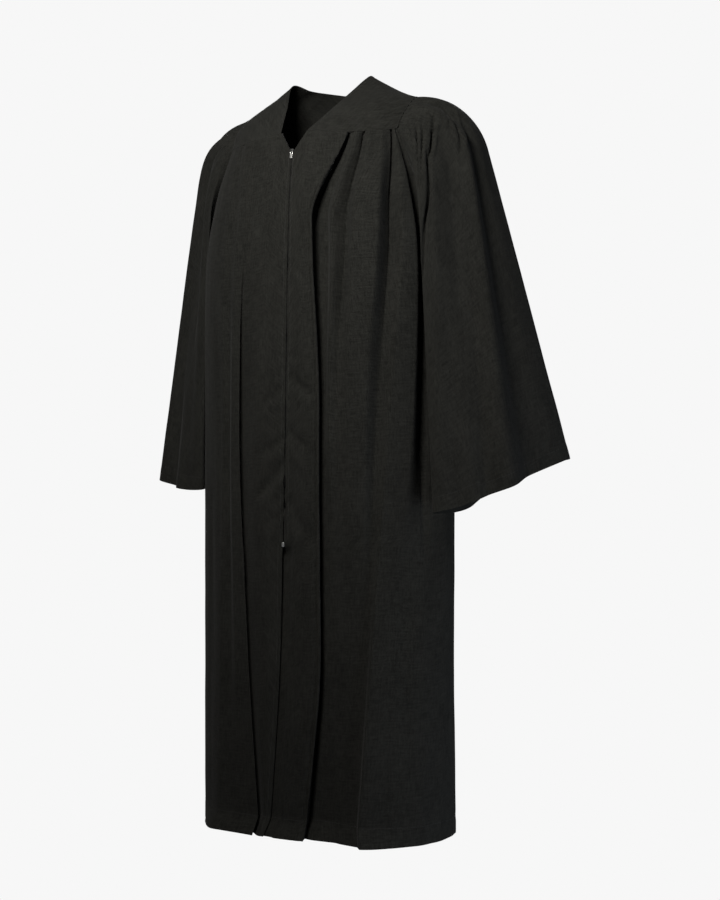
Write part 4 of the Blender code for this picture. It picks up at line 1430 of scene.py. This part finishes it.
    def zip_half(self, palette: Palette) -> list:
        """Builds this side's zip tape behind the cloth and its row of coil teeth."""
        u, v = np.meshgrid(np.linspace(0, 1, 8), np.linspace(0, 1, 280))
        points, angle, level = self.tape_surface(u, v)
        drape = Drape(settle(points), outward=self.side.value)
        self.shape(drape, angle, level)
        drape.lift(np.full(level.shape, -self.tape_behind))
        name = "zip_tape_" + self.side.label
        tape = drape.build(name + "_woven", self.tape_thickness)
        finished(tape, palette.tape, "zip_tape", "gown", name)
        edge = drape.points[:, 0] + drape.normals()[:, 0] * self.tooth_out
        run = np.concatenate(((0.0,), np.cumsum(np.linalg.norm(np.diff(edge, axis=0), axis=1))))
        first = self.tooth_pitch * (1.0 if self.side is Side.LEFT else 1.5)
        at = np.arange(first, run[-1] - self.tooth_clear, self.tooth_pitch)
        middle = np.stack([np.interp(at, run, edge[:, k]) for k in range(3)], -1)
        starts, ends = middle.copy(), middle.copy()
        starts[:, 0] = -self.tooth_past * self.side.value
        ends[:, 0] = self.tooth_end * self.side.value
        name = "zip_teeth_" + self.side.label
        teeth = link(name, bar_mesh(name, starts, ends, self.tooth_radius))
        return [tape, finished(teeth, palette.coil, "zip_tape")]

    def build(self, palette: Palette) -> list:
        """Builds the panel, its hem, its creases, its stitches and its half of the zip."""
        name = "front_" + self.side.label
        across = gathered(self.columns, len(self.folds), 0.45)
        u, v = np.meshgrid(across, spread(self.rows, 1.2, True, True))
        points, angle, level = self.surface(u, v)
        drape = Drape(settle(points), outward=self.side.value)
        self.shape(drape, angle, level)
        away = drape.from_edge("bottom")
        flare = self.hem_flare * np.clip(1 - away / self.hem_width, 0, 1)
        flare = flare * ease((self.flare_end - angle) / self.flare_fade)
        aside = drape.points[..., :2]
        aside = aside / np.linalg.norm(aside, axis=-1, keepdims=True)
        drape.points[..., :2] += aside * flare[..., None]
        drape.hem("bottom", self.hem_width)
        drape.turn("first", radius=0.0028, depth=0.0015)
        drape.sew("last", "top")
        lines = [
            drape.line("bottom", self.hem_width, 0.0001),
            drape.line("first", self.front_stitch, 0.0001),
        ]
        piece = drape.build(name + "_cloth", self.thickness)
        finished(piece, palette.cloth, "gown_cloth", "gown", name)
        sewing = Stitching().build(name + "_stitches", lines, palette.thread)
        return [piece, sewing] + self.zip_half(palette)


def loop(half_width: float, low: float, high: float, power: float, count: int = 48) -> np.ndarray:
    """Closed outline in x and z: a superellipse with squarer corners as the power grows."""
    turn = np.linspace(0, 2 * np.pi, count, endpoint=False)
    x = half_width * np.sign(np.cos(turn)) * np.abs(np.cos(turn)) ** (2 / power)
    z = np.sign(np.sin(turn)) * np.abs(np.sin(turn)) ** (2 / power)
    return np.stack((x, (low + high) / 2 + (high - low) / 2 * z), -1)


def plate(
    outline: np.ndarray, front: float, back: float, edge: float, dome: float = 0.0
) -> np.ndarray:
    """Plate with rounded edges: the outline shrunk to its middle on both faces.

    Args:
        outline: closed outline in x and z.
        front: y of the front face.
        back: y of the back face.
        edge: radius of the edges.
        dome: how far the front face's middle stands out of its rim.

    Returns:
        A grid of points that joins up across.
    """
    turn = np.radians(np.linspace(0, 90, 5))
    shrink = edge / np.abs(outline - outline.mean(0)).max(0).min()
    rim = 1 - shrink * (1 - np.cos(turn))
    depth = edge * (1 - np.sin(turn))
    inner = np.array((0.94 - shrink, 0.6, 0.3, 0.01))
    hump = front - dome * (1 - inner ** 2)
    share = np.concatenate((inner[::-1], rim[::-1], rim, inner))
    y = np.concatenate((np.full(4, back), back - depth[::-1], front + depth, hump))
    middle = outline.mean(0)
    flat = middle + (outline - middle)[None] * share[:, None, None]
    return np.stack((flat[..., 0], np.broadcast_to(y[:, None], flat.shape[:2]), flat[..., 1]), -1)


def framed(outer: np.ndarray, inner: np.ndarray, half_thick: float, edge: float) -> np.ndarray:
    """Flat ring between two outlines, its section a rectangle with rounded corners."""
    turn = np.radians(np.linspace(0, 90, 4))
    bend = edge * (1 - np.cos(turn))
    side = half_thick - edge + edge * np.sin(turn)
    width = np.abs(outer).max(0).min() - np.abs(inner[:, 0]).max()
    out = np.concatenate((1 - bend / width, bend[::-1] / width))
    y = np.concatenate((-side, -side[::-1]))
    share = np.concatenate((out, out[::-1]))
    y = np.concatenate((y, -y[::-1]))
    flat = inner[None] + (outer - inner)[None] * share[:, None, None]
    return np.stack((flat[..., 0], np.broadcast_to(y[:, None], flat.shape[:2]), flat[..., 1]), -1)


def zip_frame(level: float) -> tuple:
    """Point on the line where the fronts meet, and the turn that lays hardware along it."""
    line = FRONT_LEFT[0]

    def point(at: float) -> np.ndarray:
        """Point of the line at a level."""
        at = np.array(at)
        rise = station_curve(STATIONS, line[5:], at) * MILLI
        return body_points(station_curve(STATIONS, line[:5], at), at, rise)

    above, below = point(level + TILT_STEP), point(level - TILT_STEP)
    tilt = -(above[1] - below[1]) / (2 * TILT_STEP)
    turn = np.array(((1, 0, 0), (0, np.cos(tilt), -np.sin(tilt)), (0, np.sin(tilt), np.cos(tilt))))
    return point(level), turn


def placed(grid: np.ndarray, level: float, out: float) -> np.ndarray:
    """A grid in a hardware's own frame, moved out of the cloth and on to the zip at a level."""
    origin, turn = zip_frame(level)
    return origin + (grid - np.array((0.0, out, 0.0))) @ turn.T


@dataclass
class Slider:
    """Zip slider: two shield-shaped plates, the post between them and the bridge over its eye.

    Attributes:
        half_top: half width at the top.
        half_bottom: half width at the bottom.
        low: lowest level, from the pull's axis.
        high: highest level.
        front: how far behind the axis the front face is.
        thick: thickness over both plates.
        bridge_radius: radius of the bridge's middle line.
        bridge_half_width: half its width.
        bridge_half_thick: half its thickness.
    """

    half_top: float = 0.0032
    half_bottom: float = 0.0011
    low: float = -0.0019
    high: float = 0.0055
    front: float = 0.00095
    thick: float = 0.0018
    bridge_radius: float = 0.0013
    bridge_half_width: float = 0.0007
    bridge_half_thick: float = 0.00038

    def shield(self, scale: float = 1.0) -> np.ndarray:
        """Outline that tapers downwards between the two rows of teeth."""
        outline = loop(1.0, self.low, self.high, 3.6)
        share = (outline[:, 1] - self.low) / (self.high - self.low)
        outline[:, 0] *= self.half_bottom + (self.half_top - self.half_bottom) * share ** 0.8
        middle = outline.mean(0)
        return middle + (outline - middle) * scale

    def bridge(self) -> np.ndarray:
        """Arch over the eye: up from the front plate, half round and down again."""
        turn = np.linspace(0, np.pi, 13)
        foot = self.front + 0.0002
        z = np.concatenate(((1.0, 1.0), np.cos(turn), (-1.0, -1.0))) * self.bridge_radius
        y = np.concatenate(((foot, foot / 2), -np.sin(turn) * self.bridge_radius, (foot / 2, foot)))
        along = np.gradient(np.stack((y, z), -1), axis=0)
        along /= np.linalg.norm(along, axis=1, keepdims=True)
        ring = np.linspace(0, 2 * np.pi, 16, endpoint=False)
        wide = self.bridge_half_width * np.sign(np.cos(ring)) * np.abs(np.cos(ring)) ** 0.5
        tall = self.bridge_half_thick * np.sign(np.sin(ring)) * np.abs(np.sin(ring)) ** 0.5
        return np.stack((
            np.broadcast_to(wide, (len(y), len(ring))),
            y[:, None] - along[:, 1:] * tall,
            z[:, None] + along[:, :1] * tall,
        ), -1)

    def build(self, palette: Palette) -> list:
        """Builds the slider."""
        back = self.front + self.thick
        grids = [
            (plate(self.shield(), self.front, self.front + 0.0006, 0.00022), False),
            (plate(self.shield(0.6), self.front + 0.0005, back - 0.0004, 0.0001), False),
            (plate(self.shield(), back - 0.0006, back, 0.00022), False),
            (self.bridge(), False),
        ]
        grids = [(placed(grid, SLIDER_LEVEL, PIVOT_OUT), ring) for grid, ring in grids]
        piece = link("slider_body", solid_mesh("slider_body", grids))
        return [finished(piece, palette.dark_metal, "dark_metal", "gown", "zip_slider")]


@dataclass
class PullTab:
    """Zip pull: a flat tab that hangs by the bar above its window.

    Attributes:
        half_width: half width of the tab.
        length: length below the axis.
        bar: half height of the bar.
        half_thick: half thickness.
        window_half: half width of the window.
        window_length: the window's lower end, below the axis.
    """

    half_width: float = 0.0025
    length: float = 0.0120
    bar: float = 0.00055
    half_thick: float = 0.00048
    window_half: float = 0.0011
    window_length: float = 0.0029

    def build(self, palette: Palette) -> list:
        """Builds the tab with a raised grip at its lower end."""
        outer = loop(self.half_width, -self.length, self.bar, 5.0, 96)
        waist = (outer[:, 1] + self.length) / (self.length + self.bar)
        outer[:, 0] *= 1 - 0.10 * np.sin(np.pi * np.clip(waist, 0, 1)) ** 2
        inner = loop(self.window_half, -self.window_length, -self.bar, 4.0, 96)
        grids = [(framed(outer, inner, self.half_thick, 0.0002), True)]
        for number in range(3):
            low = -self.length + 0.0016 + 0.0011 * number
            rib = loop(self.half_width * 0.62, low, low + 0.0005, 4.0, 32)
            face = -self.half_thick
            grids.append((plate(rib, face - 0.00016, face + 0.0002, 0.0001), False))
        grids = [(placed(grid, SLIDER_LEVEL, PIVOT_OUT), ring) for grid, ring in grids]
        piece = link("pull_tab", solid_mesh("pull_tab", grids))
        return [finished(piece, palette.silver, "silver_metal", "pull", "zip_pull")]


@dataclass
class BottomStop:
    """Stop box clamped over the zip's lower end, its face slightly domed.

    Attributes:
        half_width: half its width.
        half_length: half its length.
        thick: how far it stands out.
        behind: how far its front cloth's face is behind its frame.
    """

    half_width: float = 0.0024
    half_length: float = 0.0040
    thick: float = 0.0018
    behind: float = 0.0008

    def build(self, palette: Palette) -> list:
        """Builds the stop box with its two clamping ribs."""
        box = loop(self.half_width, -self.half_length, self.half_length, 5.0, 64)
        grids = [(plate(box, -self.thick, self.behind, 0.0005, 0.0002), False)]
        for level in (-0.0024, 0.0024):
            rib = loop(self.half_width * 0.8, level - 0.0004, level + 0.0004, 3.0, 32)
            grids.append((plate(rib, -self.thick - 0.0003, -self.thick + 0.0004, 0.00018), False))
        grids = [(placed(grid, ZIP_BOTTOM_LEVEL, 0.0), ring) for grid, ring in grids]
        piece = link("stop_box", solid_mesh("stop_box", grids))
        return [finished(piece, palette.silver, "silver_metal", "gown", "zip_bottom_stop")]


@dataclass
class BackPanel:
    """Back panel, gathered to the yoke's seam.

    Attributes:
        columns: steps between two fold lines.
        rows: steps down.
        thickness: thickness of the shell.
        hem_width: width of the doubled hem.
        seam_lap: how far its top goes up under the yoke's seam.
        side_lap: how far its side seams go over the fronts'.
        flat: width and length of its cut; not used.
        area: its cut's area; not used.
        gather: mean height of a gather's step in millimetres.
        gather_vary: how much higher or lower every second one is, as a share.
        gather_end: level at which the gathers end.
        gather_fade: length over which they do.
        groove: depth of the groove under it, for each millimetre of the step.
        groove_width: half width of that groove in millimetres.
    """

    columns: int = 12
    rows: int = 150
    thickness: float = 0.0009
    hem_width: float = 0.030
    seam_lap: float = 0.0008
    side_lap: float = 0.0012
    flat: tuple = (1.02, 1.23)
    area: float = 1.0
    gather: float = 1.3
    gather_vary: float = 0.3
    gather_end: float = -0.42
    gather_fade: float = 0.30
    groove: float = 1.2
    groove_width: float = 2.4

    def lines(self, index: np.ndarray, level: np.ndarray) -> tuple:
        """Angles and rises of the crests and the hollows by their index."""
        share = ease((YOKE_LEVEL - level) / (YOKE_LEVEL - HEM_LEVEL))
        table = np.array(BACK_CRESTS, float)

        def crest(number: np.ndarray) -> tuple:
            """Angles and rises of the crests of these numbers."""
            row = table[np.clip(number, 0, len(table) - 1)]
            angle = row[..., 0] + (row[..., 1] - row[..., 0]) * share
            return angle, station_curve(BACK_LEVELS, row[..., 2:], level) * MILLI

        last = len(table) * 2
        angle, rise = crest((index - 1) // 2)
        angle_next, rise_next = crest((index - 1) // 2 + 1)
        hollow = (index % 2 == 0)
        angle = np.where(hollow, (angle + angle_next) / 2, angle)
        rise = np.where(hollow, np.minimum(rise, rise_next) * BACK_HOLLOW_SHARE, rise)
        edge = side_angle(level)
        left = station_curve(STATIONS, SIDE_RISE_LEFT, level) * MILLI
        right = station_curve(STATIONS, SIDE_RISE_RIGHT, level) * MILLI
        angle = np.where(index == 0, -edge, np.where(index == last, edge, angle))
        return angle, np.where(index == 0, left, np.where(index == last, right, rise))

    def surface(self, u: np.ndarray, v: np.ndarray) -> tuple:
        """The gathers' blend: u from the left side seam to the right, v from the yoke down."""
        last = len(BACK_CRESTS) * 2
        place = u * last
        start = np.full_like(u, YOKE_LEVEL)
        top_angle, _ = read_between(lambda k: self.lines(k, start), place, last)
        top = back_seam_level(top_angle) + self.seam_lap
        level = top + (HEM_LEVEL - top) * v ** ROW_BIAS
        angle, rise = read_between(lambda k: self.lines(k, level), place, last)
        points = body_points(180.0 + angle, level, rise)
        points[..., 1] -= np.clip(np.maximum(1 - place, place - last + 1), 0, 1) * self.side_lap
        return points, angle, level

    def build(self, palette: Palette) -> list:
        """Builds the panel, its hem and its stitches."""
        across = gathered(self.columns, len(BACK_CRESTS) * 2, 0.90)
        u, v = np.meshgrid(across, spread(self.rows, 1.2, True, True))
        points, angle, level = self.surface(u, v)
        drape = Drape(settle(points))
        for number in range(2, len(BACK_CRESTS) * 2, 2):
            line, _ = self.lines(np.full(u.shape, number), level)
            lap = self.gather * ease((level - self.gather_end) / self.gather_fade)
            lap = lap * (1.0 + self.gather_vary * (-1) ** (number // 2))
            drape.pleat((angle - line) * BODY_SCALE, lap, self.groove, self.groove_width)
        drape.crease(angle, level, CREASES_BACK, BODY_SCALE)
        drape.lift(UNEVEN * smooth_noise(drape.across, drape.down * 0.3, 31, 0.08))
        drape.hem("bottom", self.hem_width)
        drape.sew("first", "last", "top")
        lines = [drape.line("bottom", self.hem_width, 0.0001)]
        piece = drape.build("back_cloth", self.thickness)
        finished(piece, palette.cloth, "gown_cloth", "gown", "back")
        sewing = Stitching().build("back_stitches", lines, palette.thread)
        return [piece, sewing]


@dataclass
class Sleeve:
    """Bell sleeve, gathered at its head and open at the wide cuff.

    Attributes:
        side: the wearer's side it is on.
        hang: how it hangs off the guides.
        creases: its soft creases.
        area: its cut's area; not used.
        columns: steps between two flutes' lines.
        rows: steps down.
        thickness: thickness of the shell.
        hem_width: width of the doubled hem.
        tuck_run: share of the length over which a tuck goes to its lower angle.
        uneven: height of the soft unevenness.
        gather: share of a tuck's depth that stands out as a step.
        groove: depth of the groove under it, for each millimetre of the step.
        flat: width and length of its cut; not used.
    """

    side: Side
    hang: Hang
    creases: tuple
    area: float
    columns: int = 11
    rows: int = 120
    thickness: float = 0.0009
    hem_width: float = 0.025
    tuck_run: float = 0.4
    uneven: float = 0.0006
    gather: float = 0.55
    groove: float = 1.1
    flat: tuple = (0.80, 0.72)

    def guides(self, column: str, around: np.ndarray) -> np.ndarray:
        """A column of the guides read round the sleeve, a closed Catmull-Rom curve."""
        values = np.array([np.atleast_1d(getattr(guide, column)) for guide in SLEEVE])
        place = (around % 360.0) / GUIDE_STEP
        low = place.astype(int)
        share = (place - low)[..., None]
        a, b, c, d = (values[(low + k) % len(values)] for k in (-1, 0, 1, 2))
        return 0.5 * (
            2 * b + (c - a) * share + (2 * a - 5 * b + 4 * c - d) * share ** 2
            + (3 * b - a - 3 * c + d) * share ** 3
        )

    def base(self, around: np.ndarray, v: np.ndarray) -> np.ndarray:
        """Smooth sleeve: a Bezier bend out of the armhole, then straight down to the hem."""
        upper, hem, lead, lean = (self.guides(k, around) for k in ("upper", "hem", "lead", "lean"))
        outer = 0.5 + 0.5 * np.cos(np.radians(around))
        upper[..., 0] -= self.hang.draw_upper * outer
        hem[..., 0] -= self.hang.draw_hem * outer
        hem[..., 2] += self.hang.lift_inner * (1 - outer) - self.hang.drop_outer * outer
        hem[..., 2] += self.hang.lift_front * np.maximum(np.sin(np.radians(around)), 0)
        inner = np.clip(np.cos(np.radians(around - TUCK_ANGLE)), 0, 1) ** 2
        hem[..., 0] -= self.hang.tuck_in * inner
        hem[..., 1] += self.hang.tuck_back * inner
        upper[..., 1] += self.hang.tuck_back * inner
        start = armhole_points(around)
        lead[..., 2] -= self.hang.drop_head * outer
        fall = hem - upper
        second = upper - fall / np.linalg.norm(fall, axis=-1, keepdims=True) * lean
        share = np.clip(v / ELBOW_SHARE, 0, 1)[..., None]
        rest = 1 - share
        bend = (
            start * rest ** 3 + (start + lead) * (3 * rest ** 2 * share)
            + second * (3 * rest * share ** 2) + upper * share ** 3
        )
        straight = upper + fall * ((v - ELBOW_SHARE) / (1 - ELBOW_SHARE))[..., None]
        return np.where((v >= ELBOW_SHARE)[..., None], straight, bend)

    def surface(self, u: np.ndarray, v: np.ndarray) -> tuple:
        """The base moved along its normal by the flutes: u round the arm, v from the armhole."""
        table = np.array(FLUTES + (FLUTES[0]._replace(head=360, hem=362),), float)
        share = ease(v)

        def lines(index: np.ndarray) -> tuple:
            """Angles and rises of the flutes' lines by their index."""
            row = table[index]
            angle = row[..., 0] + (row[..., 1] - row[..., 0]) * share
            return angle, station_curve((0.0, -ELBOW_SHARE, -1.0), row[..., 2:], -v) * MILLI

        around, rise = read_between(lines, u * len(FLUTES), len(FLUTES))
        rise = rise * ease(v / FLUTE_FADE)
        points = self.base(around, v)
        along = self.base(around + TURN_STEP, v) - self.base(around - TURN_STEP, v)
        above = self.base(around, np.maximum(v - FALL_STEP, 0.0))
        below = self.base(around, np.minimum(v + FALL_STEP, 1.0))
        normal = np.cross(below - above, along)
        points += normal / np.linalg.norm(normal, axis=-1, keepdims=True) * rise[..., None]
        points[..., 0] *= self.side.value
        return points, around

    def build(self, palette: Palette) -> list:
        """Builds the sleeve, its hem and its stitches."""
        name = "sleeve_" + self.side.label
        count = self.columns * len(FLUTES)
        u, v = np.meshgrid(np.arange(count) / count, spread(self.rows, 0.62, True, True))
        points, around = self.surface(u, v)
        drape = Drape(settle(points), closed=True, outward=-self.side.value)
        for tuck in TUCKS:
            centre = tuck.head + (tuck.lower - tuck.head) * ease(v / self.tuck_run)
            aside = ((around - centre + 180) % 360 - 180) * TUCK_SCALE * (1 + v)
            fade = np.clip(1 - v / tuck.reach, 0, 1) ** 1.3
            drape.pleat(aside, tuck.depth * self.gather * fade, self.groove, tuck.half_width)
        drape.crease(around, v * SLEEVE_LENGTH, self.creases, SLEEVE_SCALE)
        wave = smooth_noise(drape.across, drape.down * 0.3, 41 + self.side.value, 0.07)
        drape.lift(self.uneven * wave)
        drape.hem("bottom", self.hem_width)
        drape.sew("top")
        lines = [drape.line("bottom", self.hem_width, 0.0001)]
        piece = drape.build(name + "_cloth", self.thickness)
        finished(piece, palette.cloth, "gown_cloth", "gown", name)
        sewing = Stitching().build(name + "_stitches", lines, palette.thread)
        return [piece, sewing]


@dataclass(frozen=True)
class Lamp:
    """Square soft light round the gown.

    Attributes:
        name: its name.
        azimuth: its angle towards the wearer's left, in degrees.
        height: its height over the level the camera looks at.
        distance: its distance from the gown's axis.
        size: length of its sides.
        power: its power in watts.
        colour: its colour.
    """

    name: str
    azimuth: float
    height: float
    distance: float
    size: float
    power: float
    colour: tuple


LAMPS = (
    Lamp("key", 10, 1.0, 1.10, 0.4, 62, (1.0, 0.985, 0.93)),
    Lamp("fill", 85, -0.75, 1.35, 0.7, 26, (0.84, 0.91, 1.0)),
    Lamp("back", 205, 0.9, 1.7, 0.8, 55, (1.0, 1.0, 1.0)),
)


@dataclass
class Studio:
    """Plain pale studio with soft lights, and the camera that took the picture.

    Attributes:
        distance: camera to the gown's axis.
        azimuth: camera's angle towards the wearer's left, in degrees.
        target: level that the camera looks at.
        focal_pixels: focal length in the photo's pixels.
        picture_height: the photo's height in pixels.
        sensor: the same height on the sensor in millimetres.
        shift: sideways shift of the frame.
        floor_below: how far the floor is below the gown's hem.
        floor_radius: where the floor starts to curve up.
        curve: radius of that curve.
        wall: height of the wall.
        glow: brightness of floor and wall.
    """

    distance: float = 3.0
    azimuth: float = 30.0
    target: float = -0.6657
    focal_pixels: float = 1667
    picture_height: float = 900
    sensor: float = 36
    shift: float = 0.0356
    floor_below: float = 0.35
    floor_radius: float = 4.8
    curve: float = 1.6
    wall: float = 6.0
    glow: float = 0.93

    def build(self) -> None:
        """Builds the backdrop, the lights and the camera."""
        self.backdrop()
        for lamp in LAMPS:
            self.light(lamp)
        world = bpy.data.worlds.new("studio_air")
        world.use_nodes = True
        world.node_tree.nodes["Background"].inputs[0].default_value = (0.22, 0.22, 0.23, 1.0)
        world.node_tree.nodes["Background"].inputs[1].default_value = 1.0
        bpy.context.scene.world = world
        camera = bpy.data.objects.new("camera", bpy.data.cameras.new("camera"))
        bpy.context.scene.collection.objects.link(camera)
        turn = np.radians(self.azimuth)
        camera.location = (self.distance * np.sin(turn), -self.distance * np.cos(turn), self.target)
        camera.rotation_euler = (np.pi / 2, 0.0, turn)
        camera.data.lens = self.focal_pixels * self.sensor / self.picture_height
        camera.data.sensor_width = self.sensor
        camera.data.shift_x = self.shift
        camera.data.clip_end = 60
        bpy.context.scene.camera = camera
        bpy.context.scene.view_settings.view_transform = "Standard"

    def light(self, lamp: Lamp) -> None:
        """A square soft light that looks at the gown's middle."""
        light = bpy.data.lights.new(lamp.name, "AREA")
        light.size = lamp.size
        light.energy = lamp.power
        light.color = lamp.colour
        piece = bpy.data.objects.new(lamp.name, light)
        bpy.context.scene.collection.objects.link(piece)
        turn = np.radians(lamp.azimuth)
        place = Vector((
            lamp.distance * np.sin(turn), -lamp.distance * np.cos(turn), self.target + lamp.height
        ))
        piece.location = place
        look = Vector((0, 0, self.target)) - place
        piece.rotation_euler = look.to_track_quat("-Z", "Y").to_euler()

    def backdrop(self) -> None:
        """A pale round floor that curves up into a wall all about: a profile turned on the axis.

        Its glow stays off the cloth, which the three lamps and the air light alone.
        """
        floor = HEM_LEVEL - self.floor_below
        turn = np.radians(np.linspace(0, 90, 16))
        out = self.floor_radius + self.curve * np.sin(turn)
        out = np.concatenate(((0.0, 2.0), out, out[-1:]))
        up = np.concatenate(((0.0, 0.0), self.curve * (1 - np.cos(turn)), (self.wall,)))
        round_about = np.radians(np.arange(0, 360, 5))
        x, y = (out[:, None] * wave(round_about) for wave in (np.sin, np.cos))
        points = np.stack(np.broadcast_arrays(x, y, floor + up[:, None]), -1)
        piece = Drape(points, closed=True).build("backdrop", 0.01)
        piece.visible_diffuse = False
        piece.visible_glossy = False
        surface = Surface("backdrop_paper", {
            "Base Color": (0.0, 0.0, 0.0, 1.0), "Roughness": 1.0, "Specular IOR Level": 0.0,
            "Emission Color": (self.glow, self.glow, self.glow, 1.0), "Emission Strength": 1.0,
        })
        piece.data.materials.append(surface.material)


def main() -> None:
    """Builds every piece of the gown in order, then the studio."""
    logging.basicConfig(level=logging.INFO, format="%(message)s")
    cloth = ClothFinish((0.0050, 0.0050, 0.0045))
    palette = Palette(
        cloth=cloth.make("gown_cloth"),
        thread=ClothFinish((0.014, 0.014, 0.014)).make("gown_thread"),
        tape=ClothFinish((0.0042, 0.0042, 0.0042)).make("zip_tape"),
        coil=PlasticFinish((0.0022, 0.0022, 0.0022), 0.75).make("zip_coil"),
        dark_metal=MetalFinish((0.03, 0.03, 0.03), 0.45).make("dark_metal"),
        silver=MetalFinish((0.30, 0.30, 0.29), 0.34).make("silver_metal"),
    )
    parts = [
        Yoke(),
        FrontPanel(
            Side.LEFT, FRONT_LEFT, SIDE_RISE_LEFT, CREASES_LEFT, PLEATS_LEFT, FRONT_CUT, 0.46
        ),
        FrontPanel(
            Side.RIGHT, FRONT_RIGHT, SIDE_RISE_RIGHT, CREASES_RIGHT, PLEATS_RIGHT, FRONT_CUT, 0.42
        ),
        BackPanel(),
        Sleeve(Side.LEFT, HANG_LEFT, CREASES_SLEEVE_LEFT, 0.42),
        Sleeve(Side.RIGHT, HANG_RIGHT, CREASES_SLEEVE_RIGHT, 0.42),
        Slider(),
        PullTab(),
        BottomStop(),
    ]
    for part in parts:
        made = part.build(palette)
        LOG.info("%s: %s", type(part).__name__, ", ".join(piece.name for piece in made))
    Studio().build()


if __name__ == "__main__":
    main()
